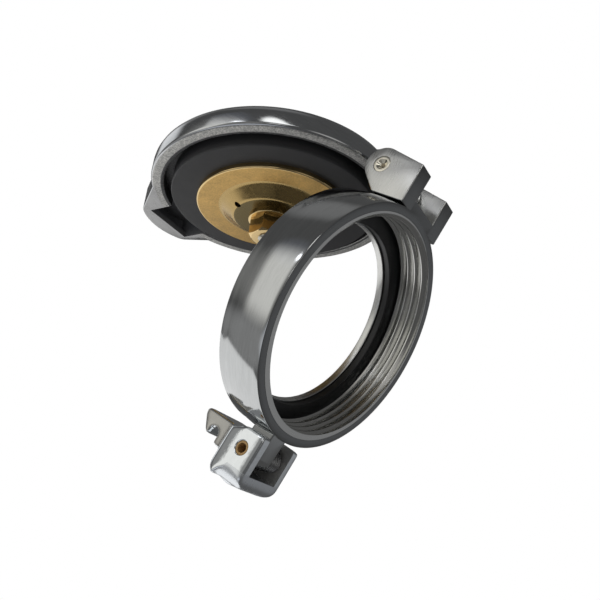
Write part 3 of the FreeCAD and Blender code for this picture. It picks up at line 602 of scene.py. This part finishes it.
# A section that is turned and then closed at its ends starts this far from the axis.
NEAR_AXIS = 0.05 * MM
rivet_half = [
    (RIVET_DISH_FLOOR, RIVET_HALF - RIVET_DISH, DISH_EDGE),
    (RIVET_HOLLOW, RIVET_HALF, HOLLOW_EDGE),
    (RIVET_SEAT_RADIUS, RIVET_HALF, RIVET_EDGE),
    (RIVET_SEAT_RADIUS, RIVET_HALF - RIVET_SEAT_DEPTH),
    (RIVET_RADIUS, RIVET_HALF - RIVET_SEAT_DEPTH),
]
rivet_section = rounded([(NEAR_AXIS, RIVET_HALF - RIVET_DISH)] + rivet_half + [
    (corner[0], -corner[1]) + corner[2:] for corner in reversed(rivet_half)
] + [(NEAR_AXIS, RIVET_DISH - RIVET_HALF)])
rivet = turned("hinge_rivet", rivet_section, closed=False, around=64)
rivet.data.transform(Matrix.Translation(HINGE) @ SIDEWAYS)
smooth(rivet)
rivet_steel = finish(
    "rivet_steel", marks,
    {"Tone": (0.78, 0.74, 0.63, 1), "Spread": 0.10, "Roughness": 0.14, "Roughness Spread": 0.06},
    (2.0, 2.0, 2.0), bump=0.1,
)
rivet_dish = finish(
    "rivet_dish", marks,
    {"Tone": (0.26, 0.22, 0.16, 1), "Spread": 0.30, "Roughness": 0.22, "Roughness Spread": 0.06},
    (2.0, 2.0, 2.0), bump=0.1,
)
IN_DISH = 1


def rivet_finish(spot, normal):
    """Bright on the flared rims and dark down in the hollow ends."""
    from_axis = (spot - HINGE).yz.length
    return IN_DISH if from_axis < (RIVET_HOLLOW + RIVET_DISH_FLOOR) / 2 else 0


dress(rivet, [rivet_steel, rivet_dish], rivet_finish)
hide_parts("hinge_pin")
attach(rivet, "ring")

# Lid. A shallow cast cup, drawn here shut and then swung open about the hinge. It is polished
# outside and rough from the mould inside, with painted shade on the inner edge of the rim's flat and
# on the walls inside; a box in front catches the hook, an arm behind carries it.
OPEN_ANGLE = -60.4
RIM_FACE, RIM_INNER, RIM_LIGHT, RIM_OUTER = 14.55 * MM, 31.4 * MM, 32.3 * MM, 35.1 * MM
RIM_EDGE, INNER_EDGE, CEILING_EDGE, CAST_EDGE = 1.0 * MM, 0.35 * MM, 0.5 * MM, 0.45 * MM
LID_CEILING, LID_TOP, LID_ROUND, LID_DOME, DOME_STEPS = 18.0 * MM, 22.15 * MM, 4.0 * MM, 1.4 * MM, 8
STUD_RADIUS, STUD_TOP = 3.0 * MM, 21.0 * MM
BOX_LEFT, BOX_RIGHT = (-13.2 * MM, -31.8 * MM), (19.4 * MM, -28.4 * MM)
BOX_CORNER, BOX_INSIDE, BOX_FRONT, BOX_ROUND = (9.9 * MM, -40.3 * MM), -21.0 * MM, -43.0 * MM, 1.2 * MM
POCKET_HALF, POCKET_BACK, POCKET_FRONT, POCKET_ROOF = 8.5 * MM, -29.9 * MM, -38.2 * MM, 20.9 * MM
LIP_TOP, UNDERCUT_IN, UNDERCUT_SIDE, UNDERCUT_OUT = 16.3 * MM, -37.7 * MM, -40.0 * MM, -41.7 * MM
ARM_HALF, KNUCKLE_RADIUS, ARM_BACK, KNUCKLE_BORE = 5.6 * MM, 4.0 * MM, 34.0 * MM, 1.65 * MM
ARM_SHOULDER, ARM_ROOT = (37.0 * MM, 20.2 * MM), (29.9 * MM, 21.35 * MM)
# An outline that is drawn from above keeps its place.
FLAT = Matrix.Identity(4)


def bowed(start, middle, end, count=12):
    """Points on the arc through three points."""
    first, second, last = (Vector(point) for point in (start, middle, end))
    twice = 2 * ((second - first).cross(last - first))
    corners = ((first, second, last), (second, last, first), (last, first, second))
    across = sum(here.length_squared * (ahead.y - back.y) for here, ahead, back in corners)
    along = sum(here.length_squared * (back.x - ahead.x) for here, ahead, back in corners)
    centre = Vector((across, along)) / twice
    from_turn, to_turn = (
        math.degrees(math.atan2(point.y - centre.y, point.x - centre.x)) for point in (first, last))
    whole = 360 if twice > 0 else -360
    return arc(centre, (first - centre).length, from_turn, from_turn + (to_turn - from_turn) % whole, count)


def at_box_corner(first, last):
    """The box's two upright edges in front."""
    upright = abs(first.z - last.z) > NEAR
    return upright and first.y < BOX_CORNER[1] + NEAR and abs(first.x) > BOX_CORNER[0] - NEAR


dome_foot = RIM_OUTER - LID_ROUND
dome_shares = [1 - step / DOME_STEPS for step in range(1, DOME_STEPS)]
dome = [(dome_foot * share, LID_TOP + LID_DOME * (1 - share ** 2)) for share in dome_shares]
lid = turned("lid", rounded([
    (STUD_RADIUS, STUD_TOP),
    (STUD_RADIUS, LID_CEILING),
    (RIM_INNER, LID_CEILING, CEILING_EDGE),
    (RIM_INNER, RIM_FACE, INNER_EDGE),
    # The flat is split here: inside this radius it is painted dark as shade.
    (RIM_LIGHT, RIM_FACE),
    (RIM_OUTER, RIM_FACE, RIM_EDGE),
    (RIM_OUTER, LID_TOP, LID_ROUND),
] + dome), closed=False)
front_outline = [(-POCKET_HALF, BOX_INSIDE), BOX_LEFT] + bowed(
    (-BOX_CORNER[0], BOX_CORNER[1]), (0, BOX_FRONT), BOX_CORNER
) + [BOX_RIGHT, (POCKET_HALF, BOX_INSIDE)]
front = plate("catch_box", front_outline, RIM_FACE, LID_TOP - NEAR, place=FLAT)
round_edges(front, BOX_ROUND, 5, at_box_corner)
soften(front, CAST_EDGE)
combine(lid, front, "UNION")
arm_low = touching((ARM_BACK, RIM_FACE), hinge_spot, KNUCKLE_RADIUS, 1)
arm_high = touching(ARM_SHOULDER, hinge_spot, KNUCKLE_RADIUS, -1) + 360
knuckle = arc(hinge_spot, KNUCKLE_RADIUS, arm_low, arm_high, count=33)
arm = plate("hinge_arm", [(ARM_BACK, RIM_FACE)] + knuckle + [ARM_SHOULDER, ARM_ROOT], -ARM_HALF, ARM_HALF)
soften(arm, CAST_EDGE)
combine(lid, arm, "UNION")
recess = rod("recess", (0, 0, 0), RIM_INNER, RIM_FACE - CUT_PAST, LID_CEILING, place=FLAT, around=192)
combine(lid, recess, "DIFFERENCE")
mouth_outline = [(-POCKET_HALF, POCKET_BACK), (-POCKET_HALF, POCKET_FRONT),
                 (POCKET_HALF, POCKET_FRONT), (POCKET_HALF, POCKET_BACK)]
mouth = plate("mouth", mouth_outline, RIM_FACE - CUT_PAST, POCKET_ROOF, place=FLAT)
combine(lid, mouth, "DIFFERENCE")
undercut_outline = [(POCKET_HALF, UNDERCUT_IN), (-POCKET_HALF, UNDERCUT_IN)] + bowed(
    (-POCKET_HALF, UNDERCUT_SIDE), (0, UNDERCUT_OUT), (POCKET_HALF, UNDERCUT_SIDE))
combine(lid, plate("undercut", undercut_outline, LIP_TOP, POCKET_ROOF, place=FLAT), "DIFFERENCE")
knuckle_reach = ARM_HALF * 1.2
combine(lid, rod("knuckle_bore", HINGE, KNUCKLE_BORE, -knuckle_reach, knuckle_reach), "DIFFERENCE")
smooth(lid)

# Cast skin: sandy grains with lighter worn tops and a few dark pits.
skin, skin_in, skin_out = new_group(
    "cast_skin",
    [("Pattern", "Vector", None), ("Tone", "Color", (0.5, 0.5, 0.5, 1)),
     ("Pit Tone", "Color", (0.1, 0.1, 0.1, 1)), ("Roughness", "Float", 0.5),
     ("Roughness Spread", "Float", 0.1)],
    [("Color", "Color", None), ("Roughness", "Float", None), ("Height", "Float", None)],
)
grains = noise_node(skin, (skin_in, "Pattern"), scale=1.0, detail=6)
lumps = noise_node(skin, (skin_in, "Pattern"), scale=0.35, detail=3)
pits = skin.nodes.new("ShaderNodeTexVoronoi")
pits.inputs["Scale"].default_value = 0.8
feed(skin, (skin_in, "Pattern"), pits, "Vector")
sandy = blended(skin, grains, lumps, second_share=0.4)
pitted = math_node(skin, "ADD", sandy, math_node(skin, "MULTIPLY", (pits, "Distance"), 0.25))
height = map_range(skin, pitted, low=0.45, high=0.78)
# The Mix node has a set of sockets for each kind of value; these are the ones for colours.
COLOUR_LOW, COLOUR_HIGH, COLOUR_MIXED = 6, 7, 2
tint = skin.nodes.new("ShaderNodeMix")
tint.data_type = "RGBA"
feed(skin, height, tint, "Factor")
feed(skin, (skin_in, "Pit Tone"), tint, COLOUR_LOW)
feed(skin, (skin_in, "Tone"), tint, COLOUR_HIGH)
feed(skin, (tint, COLOUR_MIXED), skin_out, "Color")
dull = math_node(skin, "MULTIPLY", height, (skin_in, "Roughness Spread"))
feed(skin, math_node(skin, "ADD", dull, (skin_in, "Roughness")), skin_out, "Roughness")
feed(skin, pitted, skin_out, "Height")

lid_polish = finish(
    "lid_polish", marks,
    {"Tone": (0.52, 0.53, 0.54, 1), "Spread": 0.08, "Roughness": 0.12, "Roughness Spread": 0.05,
     "Waves": 20.0},
    (0.25, 3.0, 0.6), bump=0.06,
)
lid_cast = finish(
    "lid_cast", skin,
    {"Tone": (0.70, 0.69, 0.66, 1), "Pit Tone": (0.26, 0.26, 0.255, 1), "Roughness": 0.42,
     "Roughness Spread": 0.15},
    (2.6, 2.6, 2.6), metallic=0.75, bump=0.6, bump_depth=0.10 * MM,
)
# Painted shade: a dark copy of the cast skin for the inner edge of the rim's flat and the walls inside the
# cup.
lid_painted_shade = finish(
    "lid_painted_shade", skin,
    {"Tone": (0.16, 0.16, 0.165, 1), "Pit Tone": (0.05, 0.05, 0.05, 1), "Roughness": 0.5,
     "Roughness Spread": 0.15},
    (2.0, 2.0, 2.0), metallic=0.5, bump=0.5, bump_depth=0.08 * MM,
)
lid_satin = finish(
    "lid_satin", marks,
    {"Tone": (0.32, 0.32, 0.32, 1), "Spread": 0.20, "Roughness": 0.30, "Roughness Spread": 0.08},
    (0.6, 0.6, 1.5), bump=0.3,
)
lid_pocket = finish(
    "lid_pocket", marks,
    {"Tone": (0.26, 0.26, 0.27, 1), "Spread": 0.15, "Roughness": 0.38, "Roughness Spread": 0.08},
    (0.6, 0.6, 1.5), metallic=0.2, bump=0.3,
)
CAST, PAINTED_SHADE, SATIN_BOX, IN_POCKET = 1, 2, 3, 4
FACING_DOWN, FACING_FRONT, RIM_BAND, INSIDE_FROM = 0.85, 0.5, 0.4 * MM, 0.5 * MM


def lid_finish(spot, normal):
    """Rough from the mould on the rim's flat and inside, seen while the lid is drawn shut. The inner edge of
    the flat and the walls inside are painted dark as shade.
    """
    from_middle = Vector(spot.xy).length
    if normal.z < -FACING_DOWN and spot.z < RIM_FACE + RIM_BAND:
        if from_middle > RIM_OUTER:
            return SATIN_BOX
        return CAST if from_middle > RIM_LIGHT - NEAR else PAINTED_SHADE
    if from_middle < RIM_INNER + RIM_BAND and spot.z < LID_CEILING + NEAR:
        return PAINTED_SHADE if spot.z > RIM_FACE + INSIDE_FROM else CAST
    under_roof = abs(spot.x) < POCKET_HALF + NEAR and spot.z < POCKET_ROOF + NEAR
    in_box = under_roof and UNDERCUT_OUT - NEAR < spot.y < 0
    return IN_POCKET if in_box and normal.y > -FACING_FRONT else 0


dress(lid, [lid_polish, lid_cast, lid_painted_shade, lid_satin, lid_pocket], lid_finish)
opening = Matrix.Rotation(math.radians(OPEN_ANGLE), 4, "X")
swing = Matrix.Translation(HINGE) @ opening @ Matrix.Translation(-HINGE)
lid.data.transform(swing)
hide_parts("lid_shell")
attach(lid, "lid")

# Seal disc. A thick disc of black rubber, cut from sheet, which closes the ring's seat. It is
# clamped under the lid by the brass plate and has a hole for the stud.
SEAL_FACE, SEAL_RADIUS, SEAL_EDGE, STUD_HOLE = 13.0 * MM, 29.1 * MM, 0.4 * MM, 3.15 * MM
seal = turned("seal", rounded([
    (STUD_HOLE, SEAL_FACE),
    (SEAL_RADIUS, SEAL_FACE, SEAL_EDGE),
    (SEAL_RADIUS, LID_CEILING),
    (STUD_HOLE, LID_CEILING),
]))
smooth(seal)
seal_rubber = finish(
    "seal_rubber", marks,
    {"Tone": (0.045, 0.045, 0.047, 1), "Spread": 0.10, "Roughness": 0.55, "Roughness Spread": 0.06},
    (2.5, 0.8, 2.5), metallic=0.0, bump=0.15, around=True,
)
dress(seal, [seal_rubber])
seal.data.transform(swing)
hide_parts("seal_disc")
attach(seal, "lid")

# Retainer. A plate pressed from sheet brass. Its flat rim holds the rubber against the lid, and
# its hub stands proud for the nut, with a small vent beside it.
PLATE_RADIUS, PLATE_FACE, HUB_FACE, PLATE_WALL = 21.7 * MM, 11.5 * MM, 8.7 * MM, 1.5 * MM
CONE_FOOT, CONE_TOP, CONE_WALL_IN = 14.7 * MM, 10.9 * MM, 0.6 * MM
HUB_ROUND, FOOT_ROUND, PLATE_EDGE, WALL_ROUND = 2.4 * MM, 2.0 * MM, 0.45 * MM, 0.8 * MM
VENT_SPOT, VENT_RADIUS, VENT_FROM, VENT_TO = Vector((9.8, -5.0, 0)) * MM, 0.9 * MM, 7 * MM, 14 * MM
retainer = turned("retainer", rounded([
    (STUD_HOLE, HUB_FACE),
    (CONE_TOP, HUB_FACE, HUB_ROUND),
    (CONE_FOOT, PLATE_FACE, FOOT_ROUND),
    (PLATE_RADIUS, PLATE_FACE, PLATE_EDGE),
    (PLATE_RADIUS, SEAL_FACE),
    (CONE_FOOT - CONE_WALL_IN, SEAL_FACE, WALL_ROUND),
    (CONE_TOP - CONE_WALL_IN, HUB_FACE + PLATE_WALL, WALL_ROUND),
    (STUD_HOLE, HUB_FACE + PLATE_WALL),
]))
vent = rod("vent", VENT_SPOT, VENT_RADIUS, VENT_FROM, VENT_TO, place=FLAT, around=48)
combine(retainer, vent, "DIFFERENCE")
smooth(retainer, angle=40)
brass_brushed = finish(
    "brass_brushed", marks,
    {"Tone": (0.54, 0.35, 0.124, 1), "Spread": 0.34, "Roughness": 0.40, "Roughness Spread": 0.08},
    (2.4, 0.35, 2.4), bump=0.2,
)
brass_dark = finish(
    "brass_dark", marks,
    {"Tone": (0.13, 0.098, 0.04, 1), "Spread": 0.2, "Roughness": 0.27, "Roughness Spread": 0.08},
    (1.6, 1.6, 1.6), bump=0.2, around=True,
)
brass_dull = finish(
    "brass_dull", marks,
    {"Tone": (0.44, 0.31, 0.128, 1), "Spread": 0.10, "Roughness": 0.27, "Roughness Spread": 0.05},
    (0.8, 0.8, 0.8), bump=0.08, around=True,
)
brass_bright = finish(
    "brass_bright", marks,
    {"Tone": (0.72, 0.53, 0.26, 1), "Spread": 0.08, "Roughness": 0.12, "Roughness Spread": 0.05},
    (2.0, 2.0, 2.0), bump=0.08,
)
BRIGHT, DULL, DARK = 1, 2, 3
BRIGHT_BAND, FOOT_BAND, CONE_BAND = 0.5 * MM, 0.6 * MM, 0.4 * MM


def plate_finish(spot, normal):
    """Brushed on the flat rim, bright on its edge, and duller on the pressed middle."""
    from_middle = Vector(spot.xy).length
    if from_middle > PLATE_RADIUS - BRIGHT_BAND:
        return BRIGHT
    if from_middle > CONE_FOOT + FOOT_BAND:
        return 0
    return DULL if from_middle > CONE_TOP - CONE_BAND else DARK


dress(retainer, [brass_brushed, brass_bright, brass_dull, brass_dark], plate_finish)
retainer.data.transform(swing)
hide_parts("retainer_disc")
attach(retainer, "lid")

# Stud. The threaded steel stud that holds the stack, screwed into the lid's middle. Its end is
# pointed a little and comes just through the nut.
STUD_END, STUD_POINT, STUD_EDGE = 1.8 * MM, 0.5 * MM, 0.1 * MM
stud = turned("stud", [
    (STUD_RADIUS - STUD_POINT, STUD_END),
    (STUD_RADIUS, STUD_END + STUD_POINT),
    (STUD_RADIUS, STUD_TOP),
], closed=False, around=64)
soften(stud, STUD_EDGE)
smooth(stud)
stud_steel = finish(
    "stud_steel", marks,
    {"Tone": (0.50, 0.48, 0.42, 1), "Spread": 0.10, "Roughness": 0.25, "Roughness Spread": 0.08},
    (1.0, 1.0, 6.0), bump=0.2,
)
dress(stud, [stud_steel])
stud.data.transform(swing)
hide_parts("centre_stud")
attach(stud, "lid")

# Washer. A plain turned brass washer between the nut and the plate's hub. It is loose on the stud
# and is held by the nut.
WASHER_RADIUS, WASHER_WALL, WASHER_EDGE = 6.4 * MM, 0.9 * MM, 0.25 * MM
WASHER_FACE = HUB_FACE - WASHER_WALL
washer = turned("washer", rounded([
    (STUD_HOLE, WASHER_FACE),
    (WASHER_RADIUS, WASHER_FACE, WASHER_EDGE),
    (WASHER_RADIUS, HUB_FACE),
    (STUD_HOLE, HUB_FACE),
]), around=96)
smooth(washer)
dress(washer, [brass_bright])
washer.data.transform(swing)
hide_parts("nut_washer")
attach(washer, "lid")

# Nut. A brass hexagon nut, machined from bar, that is screwed on the stud and clamps the stack.
# Its outer corners are turned off to a cone and its edges are a little worn.
NUT_FLATS, NUT_HEIGHT, NUT_TURN, NUT_EDGE = 10.0 * MM, 5.2 * MM, 12.5, 0.12 * MM
NUT_FACE_RADIUS, NUT_CORNER_RUN = 4.8 * MM, 1.7
NUT_FACE = WASHER_FACE - NUT_HEIGHT
bpy.ops.object.select_all(action="DESELECT")
bpy.ops.mesh.primitive_cylinder_add(vertices=6, radius=NUT_FLATS / math.sqrt(3), depth=NUT_HEIGHT)
nut = bpy.context.object
nut.name = "nut"
nut.data.transform(Matrix.Translation((0, 0, NUT_FACE + NUT_HEIGHT / 2))
                   @ Matrix.Rotation(math.radians(NUT_TURN + 90), 4, "Z"))
soften(nut, NUT_EDGE, segments=2)
cone_foot = NUT_FACE_RADIUS + NUT_HEIGHT * NUT_CORNER_RUN
cone = turned("cone", [(NUT_FACE_RADIUS, NUT_FACE), (cone_foot, WASHER_FACE)], closed=False, around=96)
combine(nut, cone, "INTERSECT")
combine(nut, rod("nut_hole", (0, 0, 0), STUD_RADIUS, 0, SEAL_FACE, place=FLAT), "DIFFERENCE")
smooth(nut, angle=20)
dress(nut, [brass_bright])
nut.data.transform(swing)
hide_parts("centre_nut")
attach(nut, "lid")

# Latch lever. A die cast lever with heavy chrome: two cheeks on the pin, a finger tab outside, a
# hollow for the spring and a hooked nose above. The nose's sides and the front under the tab are
# satin, the hollow is dull, and the rest is like a mirror.
LEVER_HALF, NOSE_HALF, HOLLOW_HALF, TUBE_RADIUS = 8.8 * MM, 7.2 * MM, 5.7 * MM, 1.7 * MM
VOXEL, MELTS, BORE_LIP, LIP_STEPS = 0.2 * MM, 110, 0.45 * MM, 5
LEVER_FOOT, LEVER_TOP, LEVER_ROOF = 0.3 * MM, 10.7 * MM, 8.8 * MM
HOLLOW_OUT, HOLLOW_IN, HOLLOW_LOW = -42.7 * MM, -31.9 * MM, -0.7 * MM
LEVER_CROWN, CROWN_PAST, CROWN_FRONT, CROWN_BACK = 0.7 * MM, 0.6 * MM, -49 * MM, -30 * MM
CORNER_SIDE, CORNER_FRONT, CORNER_IN, CORNER_BOW = -42.3 * MM, -46.6 * MM, 4.0 * MM, (7.6 * MM, -45.1 * MM)
TAB_UNDER, TAB_SLOPE, CLEAR_SIDE, CLEAR_FRONT = 5.2 * MM, 0.75, 11 * MM, -50 * MM


def in_mm(*places):
    """The corners of an outline, from places given in millimetres."""
    return [tuple(number * MM for number in place) for place in places]


# The lever from the side: up its inner edge, over the bow of the finger tab and down its front.
lever_outline = in_mm((-32.9, 0.3), (-32.9, 6.1), (-34.9, 10.7)) + bowed(
    *in_mm((-44.6, 10.7), (-46.5, 9.3), (-47.4, 6.7))
) + in_mm((-46.4, 1.3), (-45.4, 0.3))
lever = plate("catch_lever", lever_outline, -LEVER_HALF, LEVER_HALF)

# Both cheeks are slightly crowned from the top to the foot.
ACROSS = Matrix(((1, 0, 0, 0), (0, 0, 1, 0), (0, 1, 0, 0), (0, 0, 0, 1)))
crown_low, crown_high = LEVER_FOOT - CROWN_PAST, LEVER_TOP + CROWN_PAST
crown_middle, crown_side = (crown_low + crown_high) / 2, LEVER_HALF - LEVER_CROWN
crown = plate("crown", bowed(
    (crown_side, crown_low), (LEVER_HALF, crown_middle), (crown_side, crown_high), count=24
) + bowed(
    (-crown_side, crown_high), (-LEVER_HALF, crown_middle), (-crown_side, crown_low), count=24
), CROWN_FRONT, CROWN_BACK, place=ACROSS)
combine(lever, crown, "INTERSECT")
# Below the tab the outer corners are cut back, so that a finger finds the tab.
for side in (1, -1):
    corner_outline = bowed(
        (side * (LEVER_HALF + NEAR), CORNER_SIDE), (side * CORNER_BOW[0], CORNER_BOW[1]),
        (side * CORNER_IN, CORNER_FRONT), count=14,
    ) + [(side * CORNER_IN, CLEAR_FRONT), (side * CLEAR_SIDE, CLEAR_FRONT), (side * CLEAR_SIDE, CORNER_SIDE)]
    corner = plate("corner", corner_outline, -CUT_PAST, TAB_UNDER, place=FLAT)
    for vertex in corner.data.vertices:
        if vertex.co.z > 0:
            vertex.co.z += max(0, CORNER_SIDE - vertex.co.y) * TAB_SLOPE
    combine(lever, corner, "DIFFERENCE")

# The nose from the side: up its back, over the hook, round the throat under it and down the front.
nose_outline = in_mm(
    (-34.3, 9.3), (-34.3, 20.0), (-35.0, 20.6), (-36.2, 20.3), (-39.6, 18.0), (-40.2, 17.0), (-39.4, 16.5)
) + bowed(
    *in_mm((-37.95, 16.5), (-37.6, 15.0), (-38.7, 13.8))
) + in_mm((-41.2, 13.8), (-41.8, 9.3))
nose = plate("nose", nose_outline, -NOSE_HALF, NOSE_HALF)
combine(lever, nose, "UNION")
# The plating over the casting melts every outer edge.
pick(lever)
lever.data.remesh_voxel_size = VOXEL
bpy.ops.object.voxel_remesh()
apply_modifier(lever, "SMOOTH", factor=0.5, iterations=MELTS)
hollow = plate("hollow", [(HOLLOW_IN, HOLLOW_LOW), (HOLLOW_IN, LEVER_ROOF), (HOLLOW_OUT, LEVER_ROOF),
                          (HOLLOW_OUT, HOLLOW_LOW)], -HOLLOW_HALF, HOLLOW_HALF)
combine(lever, hollow, "DIFFERENCE")
# The bore opens in a small rolled lip at each cheek.
lip_turns = [math.radians(90 * step / LIP_STEPS) for step in range(LIP_STEPS + 1)]
bore_half = [(TUBE_RADIUS + BORE_LIP * (1 - math.cos(turn)), LEVER_HALF - BORE_LIP * (1 - math.sin(turn)))
             for turn in lip_turns] + [(TUBE_RADIUS + BORE_LIP, LEVER_HALF + CUT_PAST)]
bore = turned("lever_bore", [(radius, -along) for radius, along in reversed(bore_half)] + bore_half,
              closed=False, around=96)
bore.data.transform(Matrix.Translation(LATCH_AXIS) @ SIDEWAYS)
combine(lever, bore, "DIFFERENCE")
smooth(lever)
chrome = finish(
    "chrome", marks,
    {"Tone": (0.80, 0.83, 0.85, 1), "Spread": 0.04, "Roughness": 0.04, "Roughness Spread": 0.03,
     "Waves": 3.0},
    (0.9, 0.9, 0.9), bump=1.0, bump_depth=0.03 * MM,
)
nose_satin = finish(
    "nose_satin", marks,
    {"Tone": (0.52, 0.51, 0.48, 1), "Spread": 0.08, "Roughness": 0.35, "Roughness Spread": 0.08},
    (2.0, 2.0, 2.0), bump=0.2,
)
hollow_grey = finish(
    "hollow_grey", marks,
    {"Tone": (0.46, 0.46, 0.45, 1), "Spread": 0.15, "Roughness": 0.45, "Roughness Spread": 0.08},
    (2.0, 2.0, 2.0), metallic=0.5, bump=0.2,
)
chrome_soft = finish(
    "chrome_soft", marks,
    {"Tone": (0.78, 0.81, 0.84, 1), "Spread": 0.06, "Roughness": 0.30, "Roughness Spread": 0.05},
    (1.0, 1.0, 1.0), bump=0.2,
)
NOSE_SIDE, IN_HOLLOW, LOW_FRONT = 1, 2, 3
NOSE_FROM, NOSE_FRONT, NOSE_FACING, LEDGE_BAND, INSET = 11 * MM, -41 * MM, 0.8, 0.3 * MM, 0.01 * MM


def lever_finish(spot, normal):
    """Satin on the nose's sides and low in front, dull in the hollow, and a mirror elsewhere."""
    in_front = CORNER_SIDE - spot.y
    if in_front > NEAR and spot.z < TAB_UNDER + in_front * TAB_SLOPE + LEDGE_BAND:
        return LOW_FRONT
    if spot.z > NOSE_FROM and abs(normal.x) > NOSE_FACING and spot.y > NOSE_FRONT:
        return NOSE_SIDE
    in_hollow = abs(spot.x) < HOLLOW_HALF + INSET and spot.y > HOLLOW_OUT - INSET
    return IN_HOLLOW if in_hollow and LEVER_FOOT + INSET < spot.z < LEVER_ROOF + INSET else 0


dress(lever, [chrome, nose_satin, hollow_grey, chrome_soft], lever_finish)
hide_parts("latch_lever")
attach(lever, "latch")

# Tube pin. A short length of rolled brass tube, pressed through the lever's two cheeks. It turns
# in the bore of the ring's ear and carries the spring's coil.
TUBE_HALF, TUBE_BORE, TUBE_EDGE = 8.6 * MM, 1.2 * MM, 0.15 * MM
tube_pin = turned("tube_pin", rounded([
    (TUBE_BORE, -TUBE_HALF),
    (TUBE_RADIUS, -TUBE_HALF, TUBE_EDGE),
    (TUBE_RADIUS, TUBE_HALF, TUBE_EDGE),
    (TUBE_BORE, TUBE_HALF),
], steps=3), around=64)
smooth(tube_pin)
pin_brass = finish(
    "pin_brass", marks,
    {"Tone": (0.52, 0.33, 0.14, 1), "Spread": 0.2, "Roughness": 0.55, "Roughness Spread": 0.08},
    (2.0, 2.0, 2.0), metallic=0.25, bump=0.2,
)
dress(tube_pin, [pin_brass])
tube_pin.data.transform(Matrix.Translation(LATCH_AXIS) @ SIDEWAYS)
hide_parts("latch_pin")
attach(tube_pin, "latch")

# Latch spring. A coil of steel wire round the tube pin, beside the ear; one leg leans on the ring
# and the other pushes the lever outwards, so that its hook stays under the lid's lip.
WIRE, COIL_RADIUS, COIL_TURNS, COIL_PITCH = 0.375 * MM, 2.55 * MM, 4.3333, 0.8 * MM
COIL_START, RING_LEG, LEVER_LEG, EAR_CLEAR = -30.0, 5.35 * MM, 4.15 * MM, 0.05 * MM
END_BAND = WIRE * 1.1
coil_turn, coil_length = math.radians(-360 * COIL_TURNS), COIL_PITCH * COIL_TURNS
bpy.ops.object.select_all(action="DESELECT")
bpy.ops.mesh.primitive_circle_add(vertices=16, radius=WIRE)
spring = bpy.context.object
spring.name = "coil_spring"
spring.data.transform(Matrix.Translation((COIL_RADIUS, 0, 0)) @ Matrix.Rotation(math.radians(90), 4, "X"))
apply_modifier(spring, "SCREW", axis="Z", angle=coil_turn, screw_offset=coil_length,
               steps=180, render_steps=180, use_smooth_shade=False)
ring_end = (0, Vector((0, 1, 0)), RING_LEG)
lever_end = (coil_length, Vector((math.sin(coil_turn), -math.cos(coil_turn), 0)), LEVER_LEG)
for height, way, length in (ring_end, lever_end):
    edit(spring)
    bpy.ops.mesh.select_mode(type="VERT")
    bpy.ops.mesh.select_all(action="DESELECT")
    bpy.ops.mesh.select_non_manifold()
    bpy.ops.object.mode_set(mode="OBJECT")
    for vertex in spring.data.vertices:
        vertex.select = vertex.select and abs(vertex.co.z - height) < END_BAND
    bpy.ops.object.mode_set(mode="EDIT")
    bpy.ops.mesh.select_mode(type="EDGE")
    bpy.ops.mesh.extrude_edges_move(TRANSFORM_OT_translate={"value": way * length})
    bpy.ops.mesh.edge_face_add()
    done(spring)
spring_across = EAR_LEFT - 2 * WIRE - EAR_CLEAR - coil_length
spring.data.transform(Matrix.Translation(LATCH_AXIS + Vector((spring_across, 0, 0)))
                      @ Matrix.Rotation(math.radians(COIL_START), 4, "X") @ SIDEWAYS)
smooth(spring)
spring_steel = finish(
    "spring_steel", marks,
    {"Tone": (0.30, 0.30, 0.30, 1), "Spread": 0.12, "Roughness": 0.3, "Roughness Spread": 0.08},
    (2.0, 2.0, 2.0), bump=0.1,
)
dress(spring, [spring_steel])
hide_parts("latch_spring")
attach(spring, "ring")
